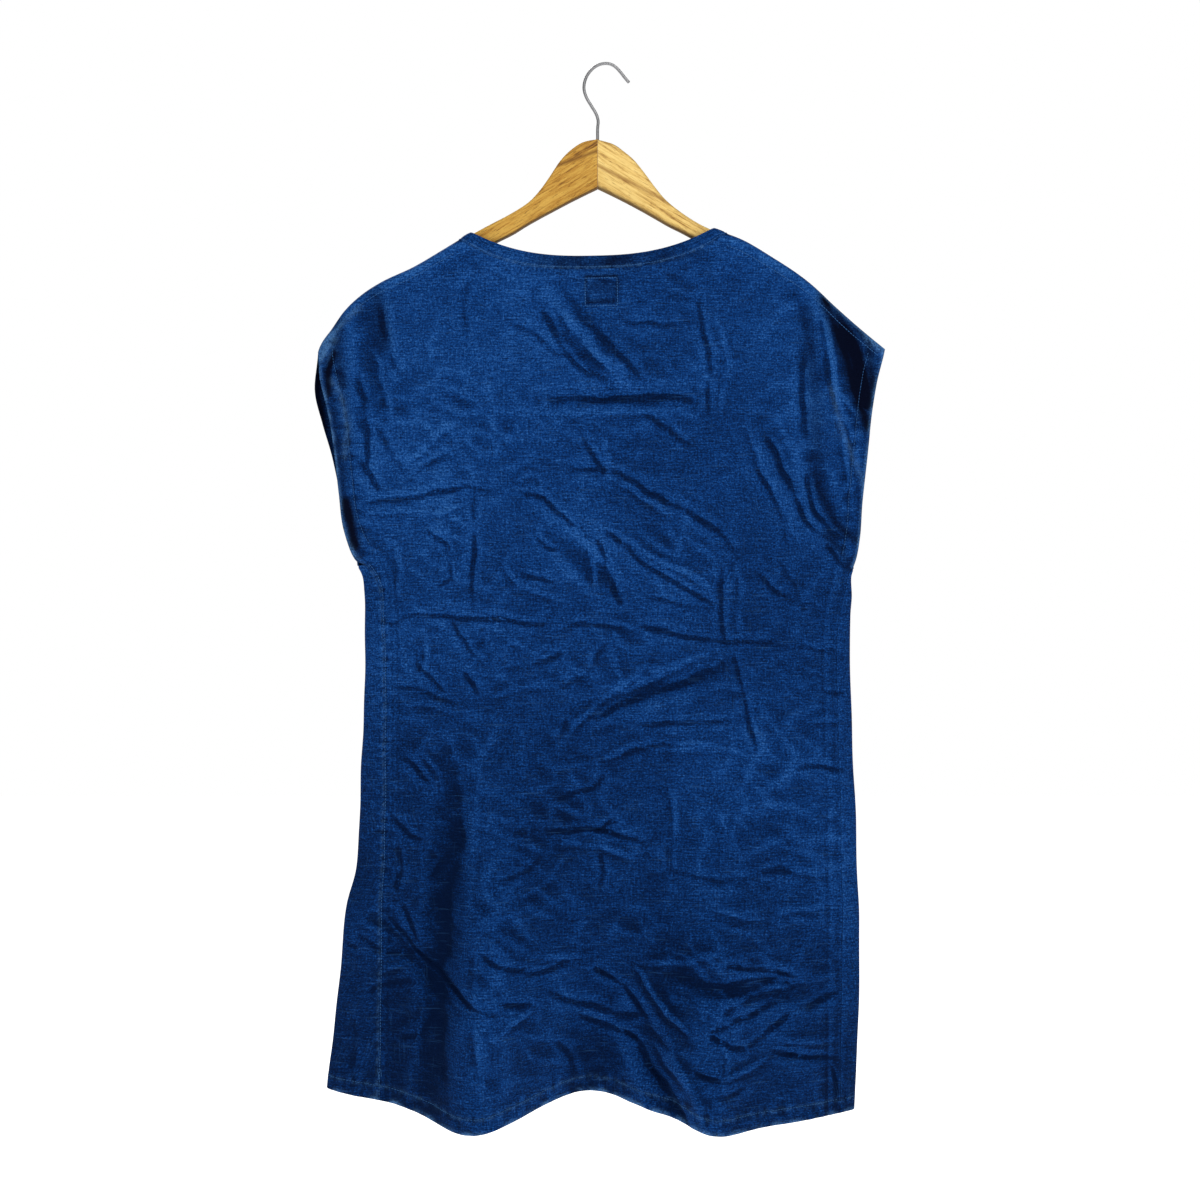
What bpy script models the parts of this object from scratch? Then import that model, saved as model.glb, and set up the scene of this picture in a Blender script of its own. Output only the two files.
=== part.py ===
"""A sleeveless tunic dress of indigo cloth, hung on a wooden coat hanger with a wire hook.

Sizes are in millimetres and become metres when a mesh is made. The origin is the inside top of
the hook, where a rail carries it. +Z is up, -Y is the back of the dress and +X its wearer's right.
"""

import math
from collections import namedtuple

import bmesh
import bpy
import numpy as np

METRES = 0.001

# Cloth and sewing
CLOTH = 1.4
TURNED = 2.4
SEAM_GAP = 0.3
BINDING_DEEP = 11.0
BINDING_PROUD = 0.7
BINDING_ROLL = 0.9

# Flattened tube that the body hangs as: 2 is an ellipse, more is flatter with rounder sides
TUBE_POWER = 5.0
SHOULDER_ROUND = 7.5
SIDE_COLUMN = 0.74
BACK_GAPE = 5.0
FRONT_GAPE = 8.0

# Neckline
NECK_LEFT = -136.0
NECK_RIGHT = 109.0
BACK_NECK_DROP = 27.0
BACK_NECK_POWER = 2.6
FRONT_NECK_DROP = 82.0
FRONT_NECK_POWER = 2.3
BINDING_REACH = 10.0

# Hanger
ARM_THICK = 11.0
ARM_ROUND = 4.5
ARM_UNDER_CLOTH = 2.6
MITRE_X = -8.5
CROWN_TOP = -75.0
CROWN_LOW = -124.0
WIRE = 3.0

BACK = -1.0
FRONT = 1.0

# Outline and depth of the hanging body from shoulder tip (down 0) to hem (down 1). left and
# right are the outermost x. The cuts are how far inside that each panel's edge lies: the armhole
# first, then the side seam, where a minus cut has the front wrapped round onto the back.
Level = namedtuple(
    "Level", "down left right back_deep front_deep back_left back_right front_left front_right"
)
LEVELS = [
    Level(0.000, -289.0, 280.0, 10.6, 10.6, 1.0, 1.0, 1.0, 1.0),
    Level(0.050, -293.5, 273.0, 12.5, 12.5, 8.0, 2.5, 1.5, 6.0),
    Level(0.100, -287.0, 266.5, 15.5, 16.0, 9.5, 2.5, 2.0, 8.0),
    Level(0.150, -277.0, 262.0, 17.5, 18.5, 6.0, 2.5, 2.0, 7.0),
    Level(0.200, -269.5, 259.0, 18.5, 20.0, 3.5, 2.5, 2.5, 5.0),
    Level(0.250, -263.0, 255.5, 19.0, 22.0, 2.5, 2.0, 2.0, 2.5),
    Level(0.285, -249.5, 248.5, 20.0, 23.0, 1.0, 1.0, 0.8, 0.8),
    Level(0.300, -243.5, 245.0, 20.5, 24.0, 4.5, 3.5, -4.5, -3.5),
    Level(0.325, -241.5, 245.5, 21.0, 24.5, 11.5, 7.5, -11.5, -7.5),
    Level(0.350, -241.0, 244.0, 21.5, 25.0, 16.0, 11.0, -16.0, -11.0),
    Level(0.400, -241.0, 243.6, 22.0, 26.0, 18.0, 14.0, -18.0, -14.0),
    Level(0.500, -243.0, 246.0, 23.0, 27.0, 21.5, 15.0, -21.5, -15.0),
    Level(0.600, -246.0, 249.5, 24.0, 28.0, 24.5, 16.0, -24.5, -16.0),
    Level(0.700, -250.0, 251.5, 24.0, 28.0, 27.5, 17.0, -27.5, -17.0),
    Level(0.750, -259.0, 252.8, 24.5, 28.0, 34.5, 18.0, -34.5, -18.0),
    Level(0.850, -266.5, 252.8, 25.0, 28.0, 41.0, 19.0, -41.0, -19.0),
    Level(1.000, -279.0, 248.3, 24.0, 27.0, 51.5, 15.5, -51.5, -15.5),
]
UNDERARM = 0.29

# Top of the cloth along the hanger and down each drooping shoulder
Across = namedtuple("Across", "x z")
SHOULDER = [
    Across(-289.0, -290.0),
    Across(-286.0, -281.5),
    Across(-274.0, -264.0),
    Across(-262.0, -246.8),
    Across(-245.0, -230.5),
    Across(-224.4, -217.2),
    Across(-192.0, -202.0),
    Across(-163.0, -185.0),
    Across(-136.0, -168.5),
    Across(-13.5, -95.0),
    Across(109.0, -164.0),
    Across(138.5, -176.0),
    Across(165.0, -191.7),
    Across(191.6, -209.0),
    Across(206.0, -220.3),
    Across(228.0, -240.7),
    Across(255.0, -264.5),
    Across(280.0, -285.0),
]

HEM = [
    Across(-279.0, -1022.0),
    Across(-228.0, -1031.0),
    Across(-192.0, -1039.0),
    Across(-152.0, -1049.5),
    Across(-126.0, -1051.0),
    Across(-90.0, -1043.0),
    Across(-45.0, -1030.0),
    Across(-10.0, -1028.0),
    Across(30.0, -1035.0),
    Across(70.0, -1043.5),
    Across(102.0, -1053.0),
    Across(155.0, -1050.0),
    Across(200.0, -1046.0),
    Across(249.0, -1043.0),
]

# Long drape folds that open towards the hem: where each starts, its middle at the hem, its half
# width and how far it stands out there (minus is a hollow)
Lobe = namedtuple("Lobe", "x_start z_start x_hem width out")
LOBES = {
    BACK: [
        Lobe(-100.0, -640.0, -126.0, 50.0, 51.0),
        Lobe(0.0, -780.0, -12.0, 42.0, -35.0),
        Lobe(125.0, -700.0, 102.0, 54.0, 46.0),
        Lobe(170.0, -820.0, 192.0, 40.0, 16.0),
        Lobe(-200.0, -800.0, -218.0, 28.0, -7.0),
    ],
    FRONT: [
        Lobe(-150.0, -760.0, -163.0, 38.0, 26.0),
        Lobe(-85.0, -800.0, -92.0, 34.0, -12.0),
        Lobe(-10.0, -700.0, -22.0, 46.0, 44.0),
        Lobe(60.0, -800.0, 62.0, 34.0, -10.0),
        Lobe(130.0, -720.0, 140.0, 46.0, 38.0),
    ],
}

# The largest creases: ends, half width and how far each stands out (minus is a trough)
Crease = namedtuple("Crease", "x0 z0 x1 z1 width out")
CREASES = {
    BACK: [
        Crease(-148.0, -690.0, -174.0, -1060.0, 27.0, -10.0),
        Crease(28.0, -955.0, 80.0, -1065.0, 25.0, -12.0),
        Crease(-57.0, -233.0, 20.0, -322.0, 17.0, 4.5),
        Crease(-62.0, -336.0, 86.0, -334.0, 16.0, -3.5),
        Crease(206.0, -226.0, 236.0, -330.0, 20.0, 5.0),
        Crease(232.0, -250.0, 262.0, -356.0, 24.0, -7.0),
        Crease(-238.0, -236.0, -232.0, -335.0, 22.0, -6.0),
        Crease(-263.0, -305.0, -254.0, -392.0, 18.0, 3.5),
        Crease(203.0, -400.0, 230.0, -470.0, 18.0, -8.0),
        Crease(155.0, -362.0, 206.0, -452.0, 18.0, -5.0),
        Crease(-12.0, -642.0, 114.0, -603.0, 18.0, -4.5),
        Crease(57.0, -908.0, 208.0, -925.0, 20.0, -7.0),
        Crease(-222.0, -850.0, -142.0, -932.0, 20.0, -7.0),
        Crease(-50.0, -472.0, 12.0, -530.0, 18.0, -4.0),
    ],
    FRONT: [
        Crease(-192.0, -255.0, -118.0, -420.0, 22.0, -4.5),
        Crease(176.0, -258.0, 112.0, -405.0, 22.0, -4.5),
        Crease(-66.0, -384.0, 74.0, -374.0, 20.0, -3.5),
        Crease(-152.0, -520.0, -40.0, -562.0, 22.0, 4.0),
        Crease(124.0, -538.0, 22.0, -604.0, 22.0, -4.0),
        Crease(-236.0, -250.0, -246.0, -356.0, 22.0, -5.0),
        Crease(232.0, -252.0, 246.0, -352.0, 22.0, -5.0),
        Crease(-104.0, -764.0, 4.0, -702.0, 20.0, -4.0),
        Crease(58.0, -882.0, 184.0, -858.0, 22.0, -5.0),
        Crease(-184.0, -896.0, -92.0, -962.0, 22.0, -6.0),
    ],
}

# Rows of the panels, as shares of the way down
ROWS = (
    [0.0, 0.0016, 0.0046, 0.0098, 0.027, 0.05, 0.075, 0.10, 0.13, 0.16, 0.19, 0.22, 0.25, 0.27]
    + [0.285, 0.30, 0.325, 0.35, 0.385, 0.42, 0.46, 0.50, 0.54, 0.58, 0.62, 0.66, 0.70, 0.74]
    + [0.78, 0.82, 0.86, 0.90, 0.94, 0.9795, 0.981, 1.0]
)
HEM_ROW = 0.981

# Columns between the side column and a panel's own edge, as shares of the way in from the edge
BACK_EDGE_COLUMNS = [0.0, 0.21, 0.23, 0.45, 0.72]
BACK_TURNED_COLUMNS = 2
FRONT_EDGE_COLUMNS = [0.0, 0.12, 0.24, 0.36, 0.385, 0.48, 0.60, 0.80]
FRONT_TURNED_COLUMNS = 4

# Hanger arms: pairs of points on the upper and lower edge, from the mitre out to the tip. The
# last pairs close the round tip.
Pair = namedtuple("Pair", "top_x top_z low_x low_z")
LEFT_ARM = [
    Pair(-23.0, -78.0, -21.0, -130.0),
    Pair(-35.4, -86.0, -36.0, -137.5),
    Pair(-46.0, -97.0, -53.0, -146.5),
    Pair(-56.0, -112.0, -67.0, -154.0),
    Pair(-66.0, -126.0, -81.0, -162.0),
    Pair(-78.0, -138.5, -93.0, -169.5),
    Pair(-97.0, -150.5, -109.0, -177.5),
    Pair(-118.0, -161.5, -130.0, -189.0),
]
RIGHT_ARM = [
    Pair(7.0, -79.5, 4.0, -130.0),
    Pair(18.0, -87.0, 18.0, -137.0),
    Pair(28.5, -96.0, 34.0, -145.5),
    Pair(39.0, -109.0, 49.0, -154.0),
    Pair(49.0, -122.5, 62.0, -161.5),
    Pair(61.0, -136.5, 75.0, -168.0),
    Pair(79.0, -150.5, 90.0, -176.0),
    Pair(98.0, -161.8, 109.0, -185.5),
]
# Under the cloth an arm is told by its upper edge's x alone, with its drop to the lower edge
Covered = namedtuple("Covered", "top_x drop")
LEFT_COVERED = [
    Covered(-142.0, 19.5),
    Covered(-163.0, 19.0),
    Covered(-186.0, 18.5),
    Covered(-208.0, 17.5),
]
RIGHT_COVERED = [
    Covered(122.0, 21.0),
    Covered(143.0, 20.5),
    Covered(166.0, 20.0),
    Covered(188.0, 19.5),
]
ARM_LEAN = 9.0
TIP_LENGTH = 13.0

# Middle line of the hook's wire
HOOK = [
    Across(-8.4, -64.0),
    Across(-7.9, -56.0),
    Across(-9.9, -49.0),
    Across(-14.4, -41.5),
    Across(-19.6, -32.5),
    Across(-22.0, -24.0),
    Across(-21.0, -15.6),
    Across(-17.2, -8.0),
    Across(-11.6, -2.3),
    Across(-5.6, 0.7),
    Across(0.3, 1.5),
    Across(5.6, 0.4),
    Across(10.4, -2.8),
    Across(14.8, -7.6),
    Across(18.7, -12.6),
    Across(22.8, -17.4),
]


def clear_scene():
    for obj in list(bpy.data.objects):
        bpy.data.objects.remove(obj, do_unlink=True)


def make_material(name, colour, roughness, metallic=0.0):
    material = bpy.data.materials.new(name)
    material.use_nodes = True
    shader = material.node_tree.nodes["Principled BSDF"]
    shader.inputs["Base Color"].default_value = (*colour, 1.0)
    shader.inputs["Roughness"].default_value = roughness
    shader.inputs["Metallic"].default_value = metallic
    return material


def smooth_table(table, key, value):
    """A monotone cubic through two columns of a table, as a function."""
    xs = np.array([getattr(row, key) for row in table])
    ys = np.array([getattr(row, value) for row in table])
    steps = np.diff(ys) / np.diff(xs)
    slopes = np.concatenate([steps[:1], (steps[:-1] + steps[1:]) / 2, steps[-1:]])
    for i in range(len(steps)):
        limit = 3 * abs(steps[i])
        for end in (i, i + 1):
            slopes[end] = max(-limit, min(limit, slopes[end]))

    def curve(at):
        at = min(max(at, xs[0]), xs[-1])
        i = min(int(np.searchsorted(xs, at, side="right")) - 1, len(steps) - 1)
        span = xs[i + 1] - xs[i]
        s = (at - xs[i]) / span
        return float(
            ys[i] * (2 * s**3 - 3 * s**2 + 1)
            + slopes[i] * span * (s**3 - 2 * s**2 + s)
            + ys[i + 1] * (3 * s**2 - 2 * s**3)
            + slopes[i + 1] * span * (s**3 - s**2)
        )

    return curve


LEVEL_AT = {name: smooth_table(LEVELS, "down", name) for name in Level._fields[1:]}
SHOULDER_AT = smooth_table(SHOULDER, "x", "z")
HEM_AT = smooth_table(HEM, "x", "z")


def blend(a, b, share):
    return a + (b - a) * share


def smoothstep(share):
    share = min(max(share, 0.0), 1.0)
    return share * share * (3 - 2 * share)


def x_at(t, down):
    """x of the place t across, where -1 and 1 are the outermost left and right."""
    left = LEVEL_AT["left"](down)
    right = LEVEL_AT["right"](down)
    return (left + right) / 2 + (right - left) / 2 * t


def t_of_top(x):
    left = LEVELS[0].left
    right = LEVELS[0].right
    return (x - (left + right) / 2) / ((right - left) / 2)


def scoop(x, left, right, drop, power):
    """A neckline between two points of the shoulder line."""
    across = (x - (left + right) / 2) / ((right - left) / 2)
    chord = blend(SHOULDER_AT(left), SHOULDER_AT(right), (x - left) / (right - left))
    return chord - drop * (1 - min(abs(across), 1.0) ** power)


BAND_LEFT = NECK_LEFT - BINDING_REACH
BAND_RIGHT = NECK_RIGHT + BINDING_REACH + 1.0
BAND_SINK = (SHOULDER_AT(NECK_LEFT) + SHOULDER_AT(NECK_RIGHT)) / 2
BAND_SINK -= (SHOULDER_AT(BAND_LEFT) + SHOULDER_AT(BAND_RIGHT)) / 2


def neck_edge(side, x):
    """Height of the free edge of the neck binding."""
    if side == BACK:
        return scoop(x, NECK_LEFT, NECK_RIGHT, BACK_NECK_DROP, BACK_NECK_POWER)
    return scoop(x, NECK_LEFT, NECK_RIGHT, FRONT_NECK_DROP, FRONT_NECK_POWER)


def panel_top(side, x):
    """Height of a panel's top edge: its shoulder seam, then the binding's lower edge."""
    if x <= BAND_LEFT or x >= BAND_RIGHT:
        return SHOULDER_AT(x)
    if side == BACK:
        drop = BACK_NECK_DROP + BINDING_DEEP - BAND_SINK
        return scoop(x, BAND_LEFT, BAND_RIGHT, drop, BACK_NECK_POWER + 0.3)
    drop = FRONT_NECK_DROP + BINDING_DEEP - BAND_SINK
    return scoop(x, BAND_LEFT, BAND_RIGHT, drop, FRONT_NECK_POWER + 0.1)


def lobe_out(side, x, z):
    total = 0.0
    for lobe in LOBES[side]:
        share = (lobe.z_start - z) / (lobe.z_start - HEM[-1].z)
        if share <= 0:
            continue
        middle = blend(lobe.x_start, lobe.x_hem, share)
        width = lobe.width * blend(0.7, 1.0, min(share, 1.0))
        total += lobe.out * smoothstep(share) * math.exp(-(((x - middle) / width) ** 2))
    return total


def crease_out(side, x, z):
    total = 0.0
    for crease in CREASES[side]:
        run_x = crease.x1 - crease.x0
        run_z = crease.z1 - crease.z0
        length_squared = run_x**2 + run_z**2
        along = ((x - crease.x0) * run_x + (z - crease.z0) * run_z) / length_squared
        along = min(max(along, 0.0), 1.0)
        away = math.hypot(x - crease.x0 - run_x * along, z - crease.z0 - run_z * along)
        if away < crease.width:
            fade = math.sin(math.pi * blend(0.12, 0.88, along))
            total += crease.out * fade * (1 - (away / crease.width) ** 2) ** 2
    return total


def gape_at(side, t, down):
    """How far an armhole's edge stands open, most at its middle height."""
    if down >= UNDERARM:
        return 0.0
    most = BACK_GAPE if side == BACK else FRONT_GAPE
    return most * math.sin(math.pi * down / UNDERARM) * abs(t) ** 10


def cloth_y(side, t, x, z, line, deep, gape=0.0):
    """How far the outer face of a panel stands from the hanger's middle plane."""
    tube = math.sqrt(max(0.0, 1 - abs(t) ** TUBE_POWER))
    below = min(max((line - z) / SHOULDER_ROUND, 0.0), 1.0)
    arch = math.sqrt(1 - (1 - below) ** 2)
    folds = (lobe_out(side, x, z) + crease_out(side, x, z)) * (1 - abs(t) ** 8)
    return side * arch * (deep * tube + folds + gape)


def cloth_point(side, t, down):
    """A point on the outer face of the panel on this side."""
    x_top = x_at(t, 0.0)
    x = x_at(t, down)
    z = blend(panel_top(side, x_top), HEM_AT(x_at(t, 1.0)), down)
    deep = LEVEL_AT["back_deep" if side == BACK else "front_deep"](down)
    y = cloth_y(side, t, x, z, SHOULDER_AT(x_top), deep, gape_at(side, t, down))
    return np.array([x, y, z])


def wrapped_point(angle, down):
    """A point by its angle round the tube: 0 is the outermost left, pi the outermost right, with
    the front between them and the back before and after."""
    side = FRONT if 0.0 <= angle <= math.pi else BACK
    return cloth_point(side, -math.cos(angle), down)


def outward(point_at, across, down):
    """The outward unit normal, from small steps across and down the cloth."""
    step = 0.002
    low = min(max(down, step / 4), 1.0)
    run = point_at(across + step, low) - point_at(across - step, low)
    fall = point_at(across, min(low + step, 1.0)) - point_at(across, max(low - step, 0.0))
    normal = np.cross(fall, run)
    return normal / np.linalg.norm(normal)


def neck_columns():
    """Places across the neck, close together where the binding runs over the shoulder."""
    left = t_of_top(BAND_LEFT)
    right = t_of_top(BAND_RIGHT)
    near = [0.0, 0.0045, 0.0105, 0.0175, 0.0275]
    middle = np.linspace(left + 0.075, right - 0.075, 14)
    return [left + s for s in near] + [float(t) for t in middle] + [right - s for s in near[::-1]]


def shared_columns():
    """Places across that both panels use, from one side column to the other."""
    neck = neck_columns()
    left = np.linspace(-SIDE_COLUMN, neck[0], 5)[:-1]
    right = np.linspace(neck[-1], SIDE_COLUMN, 6)[1:]
    return [float(t) for t in left] + neck + [float(t) for t in right]


def edge_t(cut_name, down, gap):
    """Distance t of a panel's edge from the middle, and whether it lies on the other side."""
    cut = LEVEL_AT[cut_name](down)
    half = (LEVEL_AT["right"](down) - LEVEL_AT["left"](down)) / 2
    wrapped = cut < 0
    cut = abs(cut) - gap if wrapped else abs(cut) + gap
    return 1 - max(cut, 0.1) / half, wrapped


def back_row(down):
    """Each column's place across in one row of the back panel."""
    gap = SEAM_GAP / 2 if down > UNDERARM else 0.0
    left, _ = edge_t("back_left", down, gap)
    right, _ = edge_t("back_right", down, gap)
    row = [blend(-left, -SIDE_COLUMN, share) for share in BACK_EDGE_COLUMNS]
    row += shared_columns()
    row += [blend(right, SIDE_COLUMN, share) for share in BACK_EDGE_COLUMNS[::-1]]
    return row


def front_row(down):
    """Each column's angle round the tube in one row of the front panel."""
    side_angle = math.acos(SIDE_COLUMN)
    ends = []
    for cut_name in ("front_left", "front_right"):
        t, wrapped = edge_t(cut_name, down, SEAM_GAP / 2)
        ends.append(-math.acos(t) if wrapped else math.acos(t))
    row = [blend(ends[0], side_angle, share) for share in FRONT_EDGE_COLUMNS]
    row += [math.acos(-t) for t in shared_columns()]
    row += [math.pi - blend(ends[1], side_angle, share) for share in FRONT_EDGE_COLUMNS[::-1]]
    return row


def panel_wall(side, row_of, point_at, turned_columns):
    """Grids of outer and inner points for a panel's wall."""
    outer = []
    inner = []
    for down in ROWS:
        places = row_of(down)
        outer_row = []
        inner_row = []
        for i, place in enumerate(places):
            point = point_at(place, down)
            normal = outward(point_at, place, down) * (1.0 if side == BACK else -1.0)
            at_edge = min(i, len(places) - 1 - i) < turned_columns
            on_seam = down == 0.0 and not BAND_LEFT < point[0] < BAND_RIGHT
            if on_seam:
                point[1] = side * SEAM_GAP / 2
                normal[1] = 0.0
                normal /= np.linalg.norm(normal)
            turned = down >= HEM_ROW or (at_edge and down < UNDERARM)
            under = point - normal * (TURNED if turned else CLOTH)
            if down < UNDERARM:
                under[1] = side * max(side * under[1], SEAM_GAP / 2)
            outer_row.append(point)
            inner_row.append(under)
        outer.append(outer_row)
        inner.append(inner_row)
    return outer, inner


def mesh_object(name, points, faces, material):
    mesh = bpy.data.meshes.new(name)
    mesh.from_pydata([tuple(float(c) * METRES for c in p) for p in points], [], faces)
    made = bmesh.new()
    made.from_mesh(mesh)
    bmesh.ops.recalc_face_normals(made, faces=made.faces)
    made.to_mesh(mesh)
    made.free()
    mesh.shade_smooth()
    mesh.set_sharp_from_angle(angle=math.radians(50))
    mesh.materials.append(material)
    obj = bpy.data.objects.new(name, mesh)
    bpy.context.scene.collection.objects.link(obj)
    return obj


def wall_object(name, outer, inner, material):
    """A closed wall between two grids of points."""
    rows = len(outer)
    columns = len(outer[0])
    points = [p for grid in (outer, inner) for row in grid for p in row]

    def at(layer, i, j):
        return layer * rows * columns + i * columns + j

    faces = []
    for i in range(rows - 1):
        for j in range(columns - 1):
            for layer in (0, 1):
                corners = ((i, j), (i, j + 1), (i + 1, j + 1), (i + 1, j))
                faces.append([at(layer, *corner) for corner in corners])
    rim = [(0, j) for j in range(columns)]
    rim += [(i, columns - 1) for i in range(1, rows)]
    rim += [(rows - 1, j) for j in range(columns - 2, -1, -1)]
    rim += [(i, 0) for i in range(rows - 2, 0, -1)]
    for (i, j), (k, m) in zip(rim, rim[1:] + rim[:1]):
        faces.append([at(0, i, j), at(0, k, m), at(1, k, m), at(1, i, j)])
    return mesh_object(name, points, faces, material)


def loft_object(name, sections, material, ring=False):
    """A closed body through sections of equal count, as a ring or with both ends filled."""
    count = len(sections[0])
    points = [p for section in sections for p in section]
    faces = []
    last = len(sections) if ring else len(sections) - 1
    for i in range(last):
        near = i * count
        far = (i + 1) % len(sections) * count
        for j in range(count):
            k = (j + 1) % count
            faces.append([near + j, near + k, far + k, far + j])
    if not ring:
        faces.append(list(range(count)))
        faces.append([(len(sections) - 1) * count + j for j in range(count)])
    return mesh_object(name, points, faces, material)


def make_panels(material):
    outer, inner = panel_wall(
        BACK, back_row, lambda t, down: cloth_point(BACK, t, down), BACK_TURNED_COLUMNS
    )
    wall_object("back_panel", outer, inner, material)
    outer, inner = panel_wall(FRONT, front_row, wrapped_point, FRONT_TURNED_COLUMNS)
    wall_object("front_panel", outer, inner, material)


def neck_point(side, x, z):
    """A point of the neck's surface, which the binding lies on."""
    return np.array([x, cloth_y(side, t_of_top(x), x, z, SHOULDER_AT(x), LEVELS[0].back_deep), z])


def neck_normal(side, x, z):
    step = 0.4
    run = neck_point(side, x + step, z) - neck_point(side, x - step, z)
    fall = neck_point(side, x, z - step) - neck_point(side, x, z)
    normal = np.cross(fall, run) * -side
    return normal / np.linalg.norm(normal)


def binding_section(side, t, on_seam):
    """Five points round the binding: outer low, outer top, the roll, inner top, inner low."""
    low_x = x_at(t, 0.0)
    low_z = panel_top(side, low_x)
    reach = (low_x - BAND_LEFT) / (BAND_RIGHT - BAND_LEFT)
    top_x = blend(NECK_LEFT, NECK_RIGHT, reach)
    top_z = neck_edge(side, top_x)
    low = neck_point(side, low_x, low_z)
    top = neck_point(side, top_x, top_z)
    low_normal = outward(lambda place, down: cloth_point(side, place, down), t, 0.0) * -side
    top_normal = neck_normal(side, top_x, top_z)
    if on_seam:
        for normal in (low_normal, top_normal):
            normal[1] = 0.0
            normal /= np.linalg.norm(normal)
    up = (top - low) / np.linalg.norm(top - low)
    low = low + up * SEAM_GAP
    middle = (BINDING_PROUD - CLOTH) / 2
    return [
        low + low_normal * BINDING_PROUD,
        top + top_normal * BINDING_PROUD,
        top + up * BINDING_ROLL + top_normal * middle,
        top - top_normal * CLOTH,
        low - low_normal * CLOTH,
    ]


def make_binding(material):
    columns = neck_columns()
    last = len(columns) - 1
    sections = [binding_section(BACK, t, i in (0, last)) for i, t in enumerate(columns)]
    sections += [binding_section(FRONT, t, False) for t in columns[-2:0:-1]]
    loft_object("neck_binding", sections, material, ring=True)


def arm_section(pair):
    """A rounded oblong across an arm, between its upper and lower edge."""
    top = np.array([pair.top_x, pair.top_z])
    low = np.array([pair.low_x, pair.low_z])
    height = np.linalg.norm(top - low)
    up = (top - low) / height
    middle = (top + low) / 2
    corner = min(ARM_ROUND, height / 2.2)
    half = ARM_THICK / 2
    points = []
    for y_sign, up_sign, start in ((1, 1, 0), (-1, 1, 90), (-1, -1, 180), (1, -1, 270)):
        for turn in (0, 30, 60, 90):
            angle = math.radians(start + turn)
            y = y_sign * (half - corner) + corner * math.cos(angle)
            rise = up_sign * (height / 2 - corner) + corner * math.sin(angle)
            place = middle + up * rise
            points.append(np.array([place[0], y, place[1]]))
    return points


def covered_pair(row, lean):
    """A pair under the cloth, whose upper edge follows the shoulder line."""
    top_z = SHOULDER_AT(row.top_x) - ARM_UNDER_CLOTH
    return Pair(row.top_x, top_z, row.top_x + lean, top_z - row.drop)


def make_arm(name, start_x, table, covered, material):
    """One arm, from its flat mitre face to its round tip."""
    away = math.copysign(1.0, covered[-1].top_x)
    sections = [arm_section(Pair(start_x, CROWN_TOP, start_x, CROWN_LOW))]
    sections += [arm_section(pair) for pair in table]
    pairs = [covered_pair(row, -away * ARM_LEAN) for row in covered]
    sections += [arm_section(pair) for pair in pairs]
    last = pairs[-1]
    slope = (pairs[-1].top_z - pairs[-2].top_z) / (pairs[-1].top_x - pairs[-2].top_x)
    for share in (0.5, 0.8, 1.0):
        squeeze = 1 - 0.85 * (1 - math.sqrt(1 - share**2 * 0.96))
        run = away * TIP_LENGTH * share
        middle_x = (last.top_x + last.low_x) / 2 + run
        middle_z = (last.top_z + last.low_z) / 2 + run * slope
        half_x = (last.top_x - last.low_x) / 2 * squeeze
        half_z = (last.top_z - last.low_z) / 2 * squeeze
        sections.append(
            arm_section(
                Pair(middle_x + half_x, middle_z + half_z, middle_x - half_x, middle_z - half_z)
            )
        )
    loft_object(name, sections, material)


def make_hook(material):
    """Steel wire from the crown of the hanger, bent round the rail."""
    route = [np.array([HOOK[0].x, CROWN_TOP + SEAM_GAP])]
    route += [np.array([row.x, row.z]) for row in HOOK]
    ends = [2 * route[0] - route[1]] + route + [2 * route[-1] - route[-2]]
    points = []
    steps = 3
    for i in range(1, len(ends) - 2):
        before, near, far, after = ends[i - 1 : i + 3]
        for k in range(steps):
            s = k / steps
            points.append(
                0.5
                * (
                    2 * near
                    + (far - before) * s
                    + (2 * before - 5 * near + 4 * far - after) * s**2
                    + (3 * near - before - 3 * far + after) * s**3
                )
            )
    points.append(ends[-2])
    curve = bpy.data.curves.new("hanger_hook", "CURVE")
    curve.dimensions = "3D"
    curve.bevel_depth = WIRE / 2 * METRES
    curve.bevel_resolution = 2
    curve.use_fill_caps = True
    spline = curve.splines.new("POLY")
    spline.points.add(len(points) - 1)
    for target, point in zip(spline.points, points):
        target.co = (point[0] * METRES, 0.0, point[1] * METRES, 1.0)
    curve.materials.append(material)
    hook = bpy.data.objects.new("hanger_hook", curve)
    bpy.context.scene.collection.objects.link(hook)


def main():
    clear_scene()
    cloth = make_material("indigo cloth", (0.0045, 0.030, 0.145), 0.85)
    binding = make_material("indigo binding", (0.004, 0.022, 0.105), 0.85)
    dark_wood = make_material("brown wood", (0.47, 0.24, 0.060), 0.5)
    pale_wood = make_material("honey wood", (0.72, 0.47, 0.18), 0.5)
    steel = make_material("bright wire", (0.62, 0.62, 0.63), 0.28, 1.0)
    make_panels(cloth)
    make_binding(binding)
    make_arm("hanger_arm_left", MITRE_X - SEAM_GAP / 2, LEFT_ARM, LEFT_COVERED, dark_wood)
    make_arm("hanger_arm_right", MITRE_X + SEAM_GAP / 2, RIGHT_ARM, RIGHT_COVERED, pale_wood)
    make_hook(steel)


main()
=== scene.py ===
# %% [markdown]
# # A tunic dress on a wooden hanger
# The dress is a loose tube of indigo cloth with drooping shoulders, cut as a back and a front,
# sewn at the shoulders and the sides and bound at the neck. It hangs on two glued arms of wood
# with a wire hook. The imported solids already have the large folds, so this script gives every
# piece its fine shape, its sewing and its finish, in the same place and the same metres.

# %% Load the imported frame
import math
from collections import namedtuple

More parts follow.
